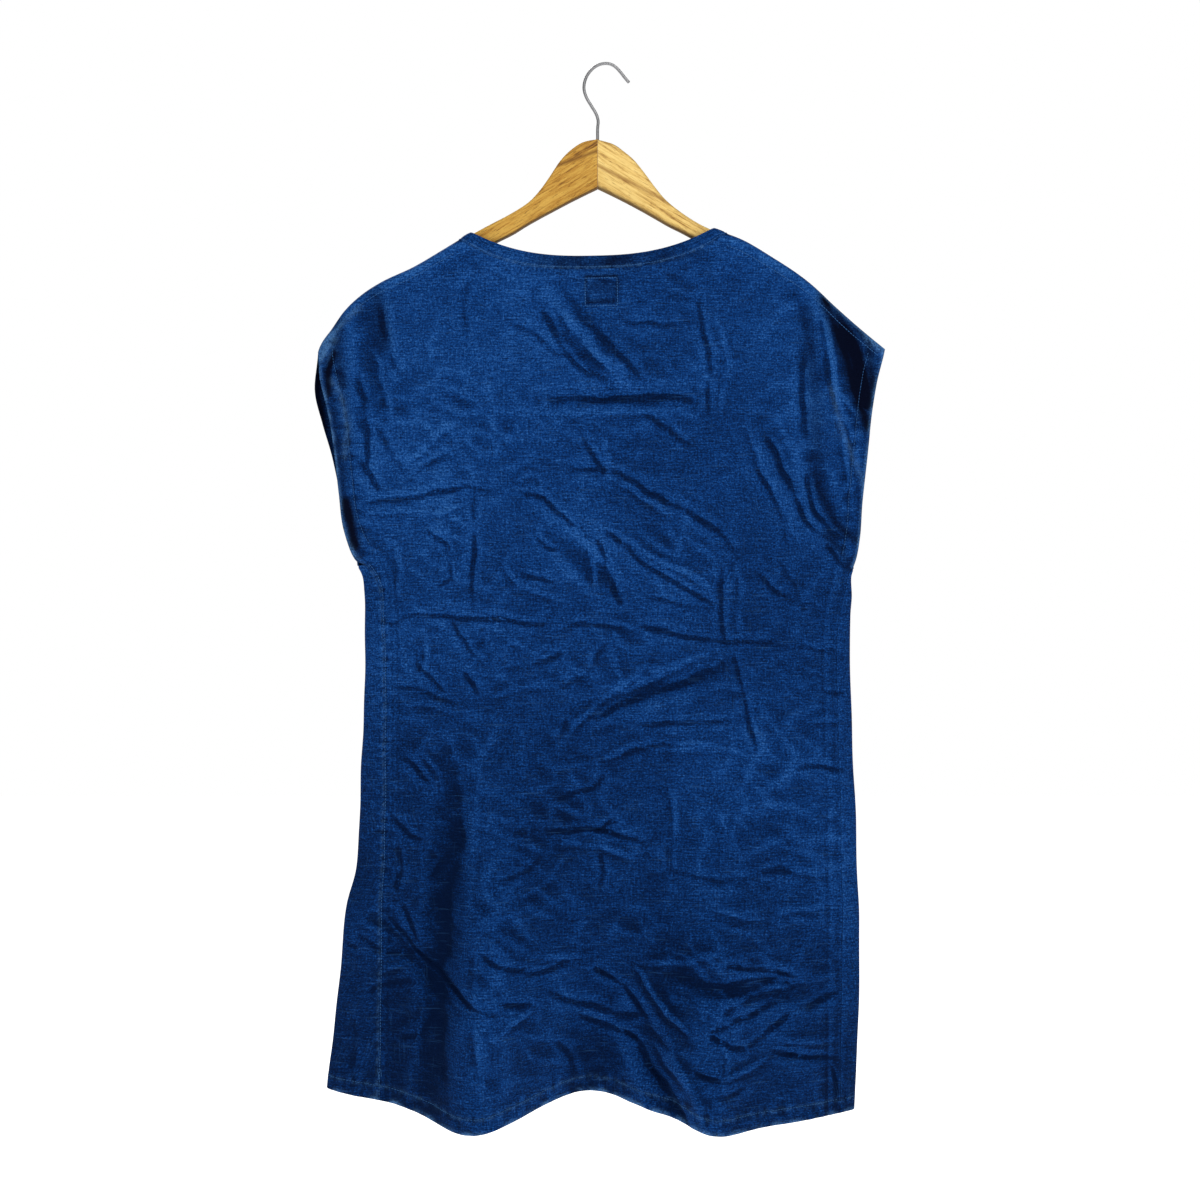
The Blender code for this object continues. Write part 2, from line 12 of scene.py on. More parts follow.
import bmesh
import bpy
import numpy as np
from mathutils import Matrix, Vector


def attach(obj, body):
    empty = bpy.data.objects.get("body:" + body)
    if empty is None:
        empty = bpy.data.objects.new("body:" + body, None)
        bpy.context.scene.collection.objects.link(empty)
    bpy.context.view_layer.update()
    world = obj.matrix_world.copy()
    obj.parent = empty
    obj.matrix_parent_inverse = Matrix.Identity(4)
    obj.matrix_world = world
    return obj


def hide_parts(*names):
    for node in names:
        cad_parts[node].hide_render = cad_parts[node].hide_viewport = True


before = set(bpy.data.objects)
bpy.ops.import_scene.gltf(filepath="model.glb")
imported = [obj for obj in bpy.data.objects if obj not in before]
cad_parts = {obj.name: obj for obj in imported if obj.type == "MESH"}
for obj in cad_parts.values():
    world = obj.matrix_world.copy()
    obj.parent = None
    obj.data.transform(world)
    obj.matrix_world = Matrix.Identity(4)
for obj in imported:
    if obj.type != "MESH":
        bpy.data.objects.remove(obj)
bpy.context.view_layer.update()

# %% [markdown]
# ## Camera, light and floor
# A dress on a hanger is photographed square on, from its own middle height, so that no edge of
# it runs together. A level camera with a 60 mm lens from 2 m does that. The light is a wide soft
# source above the camera and to the right, with a weak fill at the left, another source for the
# far side and a white room round it all: each crease then shows by a soft dark side and not by a
# hard shadow.

# %% Camera
EYE = Vector((-0.006, -2.0, -0.535))
camera = bpy.data.cameras.new("camera")
camera.lens = 60.0
camera.sensor_width = 36.0
camera_object = bpy.data.objects.new("camera", camera)
camera_object.location = EYE
camera_object.rotation_euler = (math.radians(90), 0.0, 0.0)
bpy.context.scene.collection.objects.link(camera_object)
bpy.context.scene.camera = camera_object
print("camera at", [round(c, 3) for c in EYE])

# %% Soft lights
def soft_light(name, place, target, size, power, colour=(1.0, 1.0, 1.0)):
    """A square area light that faces a point."""
    lamp = bpy.data.lights.new(name, "AREA")
    lamp.shape = "SQUARE"
    lamp.size = size
    lamp.energy = power
    lamp.color = colour
    holder = bpy.data.objects.new(name, lamp)
    holder.location = place
    turn = (Vector(target) - Vector(place)).to_track_quat("-Z", "Y")
    holder.rotation_euler = turn.to_euler()
    bpy.context.scene.collection.objects.link(holder)


MIDDLE = (0.0, 0.0, -0.55)
soft_light("key_light", (0.60, -1.75, 1.25), MIDDLE, 0.7, 36.0)
soft_light("fill_light", (-1.3, -2.3, -0.2), MIDDLE, 1.2, 7.4)
soft_light("front_side_light", (-0.7, 1.75, 1.25), MIDDLE, 0.7, 36.0)
print("three soft lights")

# %% White room, dimmer as a light than it looks
WHITE = (1.0, 1.0, 1.0, 1.0)
ROOM_LIGHT = 0.17
world = bpy.data.worlds.new("white_room")
world.use_nodes = True
room = world.node_tree.nodes["Background"]
room.inputs["Color"].default_value = WHITE
room.inputs["Strength"].default_value = ROOM_LIGHT
seen = world.node_tree.nodes.new("ShaderNodeBackground")
seen.inputs["Color"].default_value = WHITE
path = world.node_tree.nodes.new("ShaderNodeLightPath")
choice = world.node_tree.nodes.new("ShaderNodeMixShader")
world.node_tree.links.new(path.outputs["Is Camera Ray"], choice.inputs["Fac"])
world.node_tree.links.new(room.outputs["Background"], choice.inputs[1])
world.node_tree.links.new(seen.outputs["Background"], choice.inputs[2])
out = world.node_tree.nodes["World Output"]
world.node_tree.links.new(choice.outputs["Shader"], out.inputs["Surface"])
bpy.context.scene.world = world
bpy.context.scene.view_settings.view_transform = "Standard"
print("room light", ROOM_LIGHT)

# %% Floor
FLOOR_Z = -1.42
bpy.ops.object.select_all(action="DESELECT")
bpy.ops.mesh.primitive_plane_add(size=14.0, location=(0.0, 0.0, FLOOR_Z))
floor = bpy.context.active_object
floor.name = "floor"
print("floor at", FLOOR_Z)

# %% [markdown]
# ## The form that the cloth hangs in
# Cloth that hangs from its shoulders is a flattened tube. A place on it is told by two numbers:
# how far across, from -1 to 1, and how far down, from 0 at the shoulder to 1 at the hem. The
# tables below are the solid's own, in millimetres: the outline at each level, the shoulder line,
# the hem, the long folds that open towards the hem and the largest creases. Both panels and all
# their sewing use one function of these two numbers, so their edges meet and lie on one surface.

# %% Sizes of the cloth
METRES = 0.001
CLOTH = 1.2
TALL = 830.0
BINDING_DEEP = 11.0
BINDING_PROUD = 0.7
BINDING_ROLL = 0.9
TUBE_POWER = 5.0
SHOULDER_ROUND = 7.5
BACK_GAPE = 5.0
FRONT_GAPE = 8.0
NECK_LEFT = -136.0
NECK_RIGHT = 109.0
BACK_NECK_DROP = 27.0
BACK_NECK_POWER = 2.6
FRONT_NECK_DROP = 82.0
FRONT_NECK_POWER = 2.3
BINDING_REACH = 10.0
UNDERARM = 0.29
HEM_ROW = 0.9825
MIDDLE_X = -13.5
BACK = -1.0
FRONT = 1.0
print("the cloth hangs", TALL, "mm and is", CLOTH, "mm thick")

# %% Tables of the form
# Outline and depth of the hanging body from shoulder tip (down 0) to hem (down 1). left and
# right are the outermost x. The cuts are how far inside that each panel's edge lies: the armhole
# first, then the side seam, where a minus cut has the front wrapped round onto the back.
Level = namedtuple(
    "Level", "down left right back_deep front_deep back_left back_right front_left front_right"
)
LEVELS = [
    Level(0.000, -289.0, 280.0, 10.6, 10.6, 1.0, 1.0, 1.0, 1.0),
    Level(0.050, -293.5, 273.0, 12.5, 12.5, 8.0, 2.5, 1.5, 6.0),
    Level(0.100, -287.0, 266.5, 15.5, 16.0, 9.5, 2.5, 2.0, 8.0),
    Level(0.150, -277.0, 262.0, 17.5, 18.5, 6.0, 2.5, 2.0, 7.0),
    Level(0.200, -269.5, 259.0, 18.5, 20.0, 3.5, 2.5, 2.5, 5.0),
    Level(0.250, -263.0, 255.5, 19.0, 22.0, 2.5, 2.0, 2.0, 2.5),
    Level(0.285, -249.5, 248.5, 20.0, 23.0, 1.0, 1.0, 0.8, 0.8),
    Level(0.300, -243.5, 245.0, 20.5, 24.0, 4.5, 3.5, -4.5, -3.5),
    Level(0.325, -241.5, 245.5, 21.0, 24.5, 11.5, 7.5, -11.5, -7.5),
    Level(0.350, -241.0, 244.0, 21.5, 25.0, 16.0, 11.0, -16.0, -11.0),
    Level(0.400, -241.0, 243.6, 22.0, 26.0, 18.0, 14.0, -18.0, -14.0),
    Level(0.500, -243.0, 246.0, 23.0, 27.0, 21.5, 15.0, -21.5, -15.0),
    Level(0.600, -246.0, 249.5, 24.0, 28.0, 24.5, 16.0, -24.5, -16.0),
    Level(0.700, -250.0, 251.5, 24.0, 28.0, 27.5, 17.0, -27.5, -17.0),
    Level(0.750, -259.0, 252.8, 24.5, 28.0, 34.5, 18.0, -34.5, -18.0),
    Level(0.850, -266.5, 252.8, 25.0, 28.0, 41.0, 19.0, -41.0, -19.0),
    Level(1.000, -279.0, 248.3, 24.0, 27.0, 51.5, 15.5, -51.5, -15.5),
]

# Top of the cloth along the hanger and down each drooping shoulder
Across = namedtuple("Across", "x z")
SHOULDER = [
    Across(-289.0, -290.0),
    Across(-286.0, -281.5),
    Across(-274.0, -264.0),
    Across(-262.0, -246.8),
    Across(-245.0, -230.5),
    Across(-224.4, -217.2),
    Across(-192.0, -202.0),
    Across(-163.0, -185.0),
    Across(-136.0, -168.5),
    Across(-13.5, -95.0),
    Across(109.0, -164.0),
    Across(138.5, -176.0),
    Across(165.0, -191.7),
    Across(191.6, -209.0),
    Across(206.0, -220.3),
    Across(228.0, -240.7),
    Across(255.0, -264.5),
    Across(280.0, -285.0),
]

HEM = [
    Across(-279.0, -1022.0),
    Across(-228.0, -1031.0),
    Across(-192.0, -1039.0),
    Across(-152.0, -1049.5),
    Across(-126.0, -1051.0),
    Across(-90.0, -1043.0),
    Across(-45.0, -1030.0),
    Across(-10.0, -1028.0),
    Across(30.0, -1035.0),
    Across(70.0, -1043.5),
    Across(102.0, -1053.0),
    Across(155.0, -1050.0),
    Across(200.0, -1046.0),
    Across(249.0, -1043.0),
]

# Long drape folds that open towards the hem: where each starts, its middle at the hem, its half
# width and how far it stands out there (minus is a hollow)
Lobe = namedtuple("Lobe", "x_start z_start x_hem width out")
LOBES = {
    BACK: [
        Lobe(-100.0, -640.0, -126.0, 50.0, 51.0),
        Lobe(0.0, -780.0, -12.0, 42.0, -35.0),
        Lobe(125.0, -700.0, 102.0, 54.0, 46.0),
        Lobe(170.0, -820.0, 192.0, 40.0, 16.0),
        Lobe(-200.0, -800.0, -218.0, 28.0, -7.0),
    ],
    FRONT: [
        Lobe(-150.0, -760.0, -163.0, 38.0, 26.0),
        Lobe(-85.0, -800.0, -92.0, 34.0, -12.0),
        Lobe(-10.0, -700.0, -22.0, 46.0, 44.0),
        Lobe(60.0, -800.0, 62.0, 34.0, -10.0),
        Lobe(130.0, -720.0, 140.0, 46.0, 38.0),
    ],
}

# The largest creases: ends, half width and how far each stands out (minus is a trough)
Crease = namedtuple("Crease", "x0 z0 x1 z1 width out")
CREASES = {
    BACK: [
        Crease(-148.0, -690.0, -174.0, -1060.0, 27.0, -10.0),
        Crease(28.0, -955.0, 80.0, -1065.0, 25.0, -12.0),
        Crease(-57.0, -233.0, 20.0, -322.0, 17.0, 4.5),
        Crease(-62.0, -336.0, 86.0, -334.0, 16.0, -3.5),
        Crease(206.0, -226.0, 236.0, -330.0, 20.0, 5.0),
        Crease(232.0, -250.0, 262.0, -356.0, 24.0, -7.0),
        Crease(-238.0, -236.0, -232.0, -335.0, 22.0, -6.0),
        Crease(-263.0, -305.0, -254.0, -392.0, 18.0, 3.5),
        Crease(203.0, -400.0, 230.0, -470.0, 18.0, -8.0),
        Crease(155.0, -362.0, 206.0, -452.0, 18.0, -5.0),
        Crease(-12.0, -642.0, 114.0, -603.0, 18.0, -4.5),
        Crease(57.0, -908.0, 208.0, -925.0, 20.0, -7.0),
        Crease(-222.0, -850.0, -142.0, -932.0, 20.0, -7.0),
        Crease(-50.0, -472.0, 12.0, -530.0, 18.0, -4.0),
    ],
    FRONT: [
        Crease(-192.0, -255.0, -118.0, -420.0, 22.0, -4.5),
        Crease(176.0, -258.0, 112.0, -405.0, 22.0, -4.5),
        Crease(-66.0, -384.0, 74.0, -374.0, 20.0, -3.5),
        Crease(-152.0, -520.0, -40.0, -562.0, 22.0, 4.0),
        Crease(124.0, -538.0, 22.0, -604.0, 22.0, -4.0),
        Crease(-236.0, -250.0, -246.0, -356.0, 22.0, -5.0),
        Crease(232.0, -252.0, 246.0, -352.0, 22.0, -5.0),
        Crease(-104.0, -764.0, 4.0, -702.0, 20.0, -4.0),
        Crease(58.0, -882.0, 184.0, -858.0, 22.0, -5.0),
        Crease(-184.0, -896.0, -92.0, -962.0, 22.0, -6.0),
    ],
}
print("the form has", len(LEVELS), "levels and", len(SHOULDER), "points along the shoulders")

# %% Smooth lines through the tables
def smooth_table(table, key, value):
    """A monotone cubic through two columns of a table, for single numbers and arrays."""
    xs = np.array([getattr(row, key) for row in table])
    ys = np.array([getattr(row, value) for row in table])
    steps = np.diff(ys) / np.diff(xs)
    slopes = np.concatenate([steps[:1], (steps[:-1] + steps[1:]) / 2, steps[-1:]])
    for i in range(len(steps)):
        limit = 3 * abs(steps[i])
        slopes[i : i + 2] = np.clip(slopes[i : i + 2], -limit, limit)

    def curve(at):
        at = np.clip(at, xs[0], xs[-1])
        i = np.clip(np.searchsorted(xs, at, side="right") - 1, 0, len(steps) - 1)
        span = xs[i + 1] - xs[i]
        s = (at - xs[i]) / span
        rise = ys[i] * (2 * s**3 - 3 * s**2 + 1) + ys[i + 1] * (3 * s**2 - 2 * s**3)
        return rise + span * (slopes[i] * (s**3 - 2 * s**2 + s) + slopes[i + 1] * (s**3 - s**2))

    return curve


LEVEL_AT = {name: smooth_table(LEVELS, "down", name) for name in Level._fields[1:]}
SHOULDER_AT = smooth_table(SHOULDER, "x", "z")
HEM_AT = smooth_table(HEM, "x", "z")
middle_top = round(float(SHOULDER_AT(MIDDLE_X)), 1)
middle_low = round(float(HEM_AT(MIDDLE_X)), 1)
print("shoulder line at the middle", middle_top, "mm, hem", middle_low, "mm")

# %% Seeded waves for all unevenness
WAVE_COUNT = 22


def waves(x, z, size, seed, stretch=1.0, lean=0.0):
    """Smooth noise of about unit height, with bumps of this size in mm."""
    source = np.random.default_rng(seed)
    across = x * math.cos(lean) + z * math.sin(lean)
    along = (z * math.cos(lean) - x * math.sin(lean)) / stretch
    total = np.zeros_like(x)
    for _ in range(WAVE_COUNT):
        angle, phase = source.uniform(0, 2 * math.pi, 2)
        step = 2 * math.pi / (size * source.uniform(1.4, 3.0))
        total += np.cos(step * (across * math.cos(angle) + along * math.sin(angle)) + phase)
    return total / math.sqrt(WAVE_COUNT / 2)


print("waves along 150 mm:", waves(np.linspace(0.0, 150.0, 4), np.zeros(4), 40.0, 1).round(2))

# %% Places across and down
def blend(a, b, share):
    return a + (b - a) * share


def smoothstep(share):
    share = np.clip(share, 0.0, 1.0)
    return share * share * (3 - 2 * share)


def wobble(down, size, seed):
    """A slight unevenness of the outline, in mm, none at the shoulder line."""
    far = np.asarray(down, float) * TALL
    calm = smoothstep(far / 40.0)
    return 0.45 * calm * waves(far, 0.0 * far, size, seed)


def half_width(down):
    return (LEVEL_AT["right"](down) - LEVEL_AT["left"](down)) / 2


def x_at(t, down):
    left = LEVEL_AT["left"](down) + wobble(down, 46.0, 5)
    right = LEVEL_AT["right"](down) + wobble(down, 46.0, 6)
    return (left + right) / 2 + (right - left) / 2 * t


def t_of_top(x):
    left = LEVELS[0].left
    right = LEVELS[0].right
    return (x - (left + right) / 2) / ((right - left) / 2)


print("half the width at mid height:", round(float(half_width(0.5)), 1), "mm")

# %% Neckline
def scoop(x, left, right, drop, power):
    """A neckline between two points of the shoulder line."""
    across = (x - (left + right) / 2) / ((right - left) / 2)
    chord = blend(SHOULDER_AT(left), SHOULDER_AT(right), (x - left) / (right - left))
    return chord - drop * (1 - np.minimum(np.abs(across), 1.0) ** power)


BAND_LEFT = NECK_LEFT - BINDING_REACH
BAND_RIGHT = NECK_RIGHT + BINDING_REACH + 1.0
BAND_SINK = (SHOULDER_AT(NECK_LEFT) + SHOULDER_AT(NECK_RIGHT)) / 2
BAND_SINK -= (SHOULDER_AT(BAND_LEFT) + SHOULDER_AT(BAND_RIGHT)) / 2


def neck_edge(side, x):
    """Height of the free edge of the neck binding."""
    back = scoop(x, NECK_LEFT, NECK_RIGHT, BACK_NECK_DROP, BACK_NECK_POWER)
    front = scoop(x, NECK_LEFT, NECK_RIGHT, FRONT_NECK_DROP, FRONT_NECK_POWER)
    return np.where(side == BACK, back, front)


def panel_top(side, x):
    """Height of a panel's top edge: its shoulder seam, then the binding's lower edge."""
    deep = BINDING_DEEP - BAND_SINK
    back = scoop(x, BAND_LEFT, BAND_RIGHT, BACK_NECK_DROP + deep, BACK_NECK_POWER + 0.3)
    front = scoop(x, BAND_LEFT, BAND_RIGHT, FRONT_NECK_DROP + deep, FRONT_NECK_POWER + 0.1)
    in_neck = (x > BAND_LEFT) & (x < BAND_RIGHT)
    return np.where(in_neck, np.where(side == BACK, back, front), SHOULDER_AT(x))


neck_lows = [round(float(neck_edge(side, MIDDLE_X)), 1) for side in (BACK, FRONT)]
print("lowest of the neck, back and front:", neck_lows, "mm")

# %% Long folds and the largest creases, as the solid has them
def lobe_out(side, x, z):
    total = np.zeros_like(x)
    for lobe in LOBES[side]:
        share = (lobe.z_start - z) / (lobe.z_start - HEM[-1].z)
        middle = blend(lobe.x_start, lobe.x_hem, share)
        width = lobe.width * blend(0.7, 1.0, np.clip(share, 0.0, 1.0))
        total += lobe.out * smoothstep(share) * np.exp(-(((x - middle) / width) ** 2))
    return total


def crease_out(side, x, z):
    total = np.zeros_like(x)
    for crease in CREASES[side]:
        run_x = crease.x1 - crease.x0
        run_z = crease.z1 - crease.z0
        along = ((x - crease.x0) * run_x + (z - crease.z0) * run_z) / (run_x**2 + run_z**2)
        along = np.clip(along, 0.0, 1.0)
        away = np.hypot(x - crease.x0 - run_x * along, z - crease.z0 - run_z * along)
        fade = np.sin(np.pi * blend(0.12, 0.88, along))
        total += crease.out * fade * np.maximum(1 - (away / crease.width) ** 2, 0.0) ** 2
    return total


widest = LOBES[BACK][0]
at_hem = lobe_out(BACK, np.array([widest.x_hem]), np.array([HEM[-1].z]))
print("the widest fold stands out", round(float(at_hem[0]), 1), "mm at the hem")

# %% [markdown]
# ## The small creases
# Washed linen keeps every fold that it dried or was packed in. A storage fold runs across the
# back, sharp wrinkles fan out from the underarms, and the lower third is crumpled where it was
# sat on. A simulation would give other folds than these, so each is a line of a few points with
# its half width, how far it stands out (minus is a trough) and how soft it is. The points of the
# back were picked by eye in the photo, in pixels, and a scratch script scaled them to whole
# millimetres: pixels from the middle of the photo over 1.0125, then 6 to the left and 535 down.
# The front doesn't show, so its points were made up, in millimetres. Between the creases the
# cloth is faintly crumpled all over by smooth noise.

# %% Creases of the back
Fold = namedtuple("Fold", "points width out soft")
BACK_FOLDS = [
    Fold(
        [
            (-238, -562), (-190, -555), (-157, -553), (-125, -552), (-81, -558), (-31, -561),
            (14, -563), (64, -568), (114, -574), (165, -579), (240, -588),
        ],
        5.5,
        -2.6,
        0.25,
    ),
    Fold([(-56, -239), (-26, -271), (-1, -300), (20, -323)], 8.0, 4.2, 0.3),
    Fold([(-67, -251), (-40, -283), (-10, -316)], 6.0, -1.8, 0.4),
    Fold([(-36, -239), (-6, -271), (34, -316)], 6.5, -2.0, 0.4),
    Fold([(-60, -338), (-21, -336), (20, -333), (58, -335), (84, -339)], 6.5, -4.2, 0.3),
    Fold([(-46, -351), (14, -347), (73, -351)], 7.0, 1.6, 0.5),
    Fold([(15, -259), (53, -262), (93, -259)], 5.0, -1.5, 0.4),
    Fold([(-18, -218), (-2, -220), (16, -218)], 3.0, -1.6, 0.4),
    Fold([(-100, -251), (-46, -290), (-6, -290)], 5.0, -1.1, 0.4),
    Fold([(93, -235), (104, -283), (104, -321), (101, -361)], 5.0, -1.5, 0.4),
    Fold([(111, -239), (119, -298), (114, -357)], 6.0, 1.1, 0.5),
    Fold([(34, -349), (65, -362), (83, -377), (93, -365)], 5.0, -1.4, 0.4),
    Fold([(-134, -201), (-142, -239), (-138, -283)], 7.0, -0.9, 0.6),
    Fold([(-168, -239), (-176, -283), (-164, -318)], 8.0, 0.9, 0.6),
    Fold(
        [(155, -369), (168, -389), (181, -412), (195, -442), (211, -464), (225, -474)],
        7.5,
        -4.6,
        0.3,
    ),
    Fold([(144, -377), (162, -416), (180, -451), (197, -481)], 7.0, 1.9, 0.45),
    Fold([(137, -362), (155, -407), (170, -446), (182, -484)], 5.5, -1.4, 0.4),
    Fold([(196, -279), (194, -328), (197, -376)], 8.0, -3.2, 0.5),
    Fold(
        [
            (204, -234), (215, -259), (222, -279), (229, -310), (234, -357), (239, -407),
            (248, -476),
        ],
        6.0,
        3.4,
        0.3,
    ),
    Fold([(211, -231), (221, -270), (231, -320), (246, -347), (255, -372)], 5.0, 2.4, 0.35),
    Fold([(219, -288), (231, -337), (243, -387), (249, -426)], 5.5, -3.4, 0.35),
    Fold([(201, -407), (206, -438), (221, -458), (233, -471), (246, -477)], 6.0, -4.6, 0.25),
    Fold([(221, -476), (231, -497), (241, -505)], 4.5, -3.6, 0.25),
    Fold([(227, -484), (238, -488), (245, -492)], 3.5, 2.0, 0.3),
    Fold([(187, -510), (206, -525), (236, -531)], 6.0, -1.8, 0.4),
    Fold([(172, -495), (192, -520), (199, -547)], 6.0, -1.3, 0.4),
    Fold([(-271, -318), (-257, -337), (-254, -367), (-257, -392)], 5.5, 2.8, 0.3),
    Fold([(-251, -304), (-240, -337), (-237, -377), (-243, -416)], 6.5, -2.4, 0.4),
    Fold([(-224, -234), (-219, -256), (-215, -283), (-206, -318)], 8.0, -2.6, 0.5),
    Fold([(-231, -283), (-217, -330), (-215, -367)], 5.0, 1.5, 0.4),
    Fold(
        [
            (-252, -438), (-223, -436), (-190, -434), (-164, -428), (-149, -423), (-129, -419),
            (-109, -425),
        ],
        5.5,
        -2.2,
        0.3,
    ),
    Fold([(-241, -451), (-204, -447), (-168, -448), (-134, -438)], 6.0, 1.5, 0.45),
    Fold([(-251, -392), (-235, -407), (-225, -426)], 5.0, -1.8, 0.35),
    Fold([(-237, -352), (-218, -377), (-200, -407)], 6.0, -1.5, 0.4),
    Fold([(-211, -407), (-184, -392), (-156, -367), (-136, -342)], 6.5, 1.4, 0.45),
    Fold([(-204, -421), (-174, -403), (-134, -377)], 6.0, -1.3, 0.4),
    Fold([(-179, -461), (-159, -481), (-154, -510), (-174, -525)], 5.0, -1.5, 0.35),
    Fold([(-208, -476), (-202, -505), (-206, -535)], 5.0, 1.2, 0.4),
    Fold([(-131, -416), (-130, -476), (-131, -549)], 5.0, -2.0, 0.35),
    Fold([(-125, -557), (-124, -587)], 4.5, -1.8, 0.35),
    Fold([(-137, -603), (-130, -616), (-125, -628)], 5.0, -2.0, 0.35),
    Fold([(-151, -557), (-138, -575), (-126, -593)], 4.5, -2.2, 0.3),
    Fold([(-190, -593), (-173, -608), (-157, -622)], 4.5, -2.2, 0.3),
    Fold([(-200, -690), (-186, -704), (-173, -719)], 5.5, -2.4, 0.3),
    Fold([(-190, -678), (-172, -698), (-158, -723)], 5.0, 1.3, 0.4),
    Fold([(-184, -563), (-178, -594), (-184, -624)], 4.5, 1.1, 0.4),
    Fold([(-213, -624), (-184, -622), (-142, -634)], 5.0, -1.4, 0.4),
    Fold([(-204, -640), (-174, -636), (-134, -646)], 5.5, 1.0, 0.4),
    Fold([(-90, -416), (-75, -412), (-58, -419)], 4.5, 1.8, 0.3),
    Fold([(-85, -428), (-58, -436), (-33, -459)], 5.5, -2.6, 0.3),
    Fold([(-76, -467), (-62, -476), (-48, -485)], 5.0, -2.2, 0.3),
    Fold([(-24, -365), (-14, -389), (0, -414)], 5.0, -2.2, 0.35),
    Fold([(-6, -371), (2, -407), (0, -436)], 5.0, 1.2, 0.4),
    Fold([(-2, -465), (6, -472), (14, -479)], 4.5, -2.2, 0.3),
    Fold([(-12, -476), (-2, -497), (8, -521), (14, -541)], 6.0, -3.4, 0.3),
    Fold([(-24, -476), (-14, -501), (-6, -527)], 6.0, 1.8, 0.4),
    Fold([(-83, -506), (-65, -512), (-45, -519)], 4.5, -1.6, 0.35),
    Fold([(-105, -495), (-83, -520), (-49, -535)], 5.0, 1.3, 0.4),
    Fold(
        [(-46, -399), (-6, -407), (34, -424), (70, -444), (113, -466), (138, -492)],
        6.5,
        -2.2,
        0.35,
    ),
    Fold([(-31, -415), (14, -424), (61, -448), (101, -472)], 6.5, 1.7, 0.45),
    Fold([(14, -477), (31, -491), (50, -504), (83, -525), (111, -539)], 5.5, -2.4, 0.3),
    Fold([(2, -466), (34, -481), (69, -501), (105, -525)], 6.0, 1.9, 0.4),
    Fold([(34, -535), (73, -541), (109, -539)], 5.0, -1.5, 0.4),
    Fold([(116, -495), (113, -525), (116, -555), (122, -584)], 5.5, -2.0, 0.35),
    Fold([(129, -495), (130, -535), (138, -584)], 6.0, 1.6, 0.45),
    Fold([(134, -500), (162, -520), (192, -533)], 6.0, -1.5, 0.4),
    Fold([(71, -495), (77, -466), (73, -436)], 5.0, 0.9, 0.4),
    Fold([(-101, -607), (-70, -598), (-41, -585)], 5.0, -2.0, 0.3),
    Fold([(-60, -676), (-47, -664), (-35, -652)], 5.0, -2.2, 0.3),
    Fold([(-53, -681), (-26, -655), (6, -624), (43, -599)], 6.5, 1.8, 0.4),
    Fold([(-10, -654), (14, -640), (58, -622), (93, -610), (111, -603)], 6.5, -3.4, 0.28),
    Fold([(-2, -634), (34, -618), (77, -598), (109, -584)], 6.5, 1.6, 0.45),
    Fold([(109, -582), (113, -594), (105, -606)], 4.5, 1.8, 0.35),
    Fold([(-46, -624), (-16, -599), (4, -575)], 5.5, -1.5, 0.4),
    Fold([(-117, -634), (-85, -624), (-49, -618)], 5.5, 1.0, 0.45),
    Fold([(-105, -575), (-75, -589), (-53, -575)], 5.0, 1.2, 0.4),
    Fold([(14, -690), (38, -683), (64, -676)], 5.0, -1.8, 0.35),
    Fold([(-6, -663), (34, -661), (83, -655), (132, -655)], 5.0, -1.1, 0.4),
    Fold([(-75, -713), (-26, -698), (30, -683), (83, -681), (132, -691)], 6.0, 1.2, 0.4),
    Fold(
        [(30, -671), (54, -674), (82, -675), (105, -681), (134, -691), (175, -698)],
        2.6,
        0.9,
        0.3,
    ),
    Fold([(128, -584), (137, -624), (140, -663), (154, -698)], 6.0, -1.9, 0.4),
    Fold([(185, -703), (211, -704), (240, -704)], 5.0, -1.8, 0.35),
    Fold([(215, -626), (227, -627), (239, -626)], 4.5, -1.8, 0.35),
    Fold([(192, -602), (216, -610), (239, -614)], 5.0, 1.4, 0.4),
    Fold([(201, -654), (221, -655), (240, -657)], 4.5, 1.1, 0.4),
    Fold([(-60, -760), (-21, -762), (12, -768), (43, -778)], 5.0, -3.4, 0.25),
    Fold([(-46, -774), (-6, -780), (34, -794)], 6.0, 1.6, 0.45),
    Fold([(-16, -768), (-2, -758), (12, -754)], 4.0, -1.5, 0.3),
    Fold([(-46, -733), (-16, -723), (-6, -703)], 5.0, -1.2, 0.4),
    Fold([(-8, -782), (0, -802), (-4, -823)], 5.0, -1.1, 0.4),
    Fold([(-134, -762), (-105, -768), (-75, -764)], 5.5, -1.2, 0.4),
    Fold([(-85, -831), (-55, -812), (-31, -782)], 6.5, 1.2, 0.4),
    Fold([(-115, -812), (-85, -802), (-57, -782)], 5.5, -1.1, 0.4),
    Fold([(65, -703), (68, -752), (65, -802)], 6.0, 0.8, 0.5),
    Fold(
        [(-219, -847), (-204, -866), (-190, -882), (-164, -905), (-141, -923), (-105, -940)],
        7.0,
        -4.2,
        0.3,
    ),
    Fold([(-202, -833), (-195, -853), (-188, -876)], 5.0, -2.4, 0.3),
    Fold([(-233, -836), (-208, -866), (-174, -902), (-138, -936)], 6.5, 2.0, 0.4),
    Fold([(-208, -777), (-202, -797), (-207, -821)], 5.5, -2.0, 0.35),
    Fold([(-218, -744), (-194, -764), (-174, -770)], 5.0, -1.8, 0.35),
    Fold([(-174, -770), (-164, -792), (-174, -816)], 5.0, 1.2, 0.4),
    Fold([(-260, -876), (-254, -877), (-248, -879)], 3.5, -2.0, 0.3),
    Fold([(-248, -865), (-237, -874), (-223, -884)], 4.5, -2.8, 0.28),
    Fold([(-219, -881), (-210, -884), (-202, -886)], 4.0, -2.2, 0.3),
    Fold([(-247, -853), (-235, -861), (-219, -869)], 4.0, 2.2, 0.3),
    Fold([(-223, -905), (-207, -900), (-192, -895)], 4.5, 2.0, 0.3),
    Fold([(-237, -920), (-211, -914), (-184, -915)], 5.0, -1.5, 0.4),
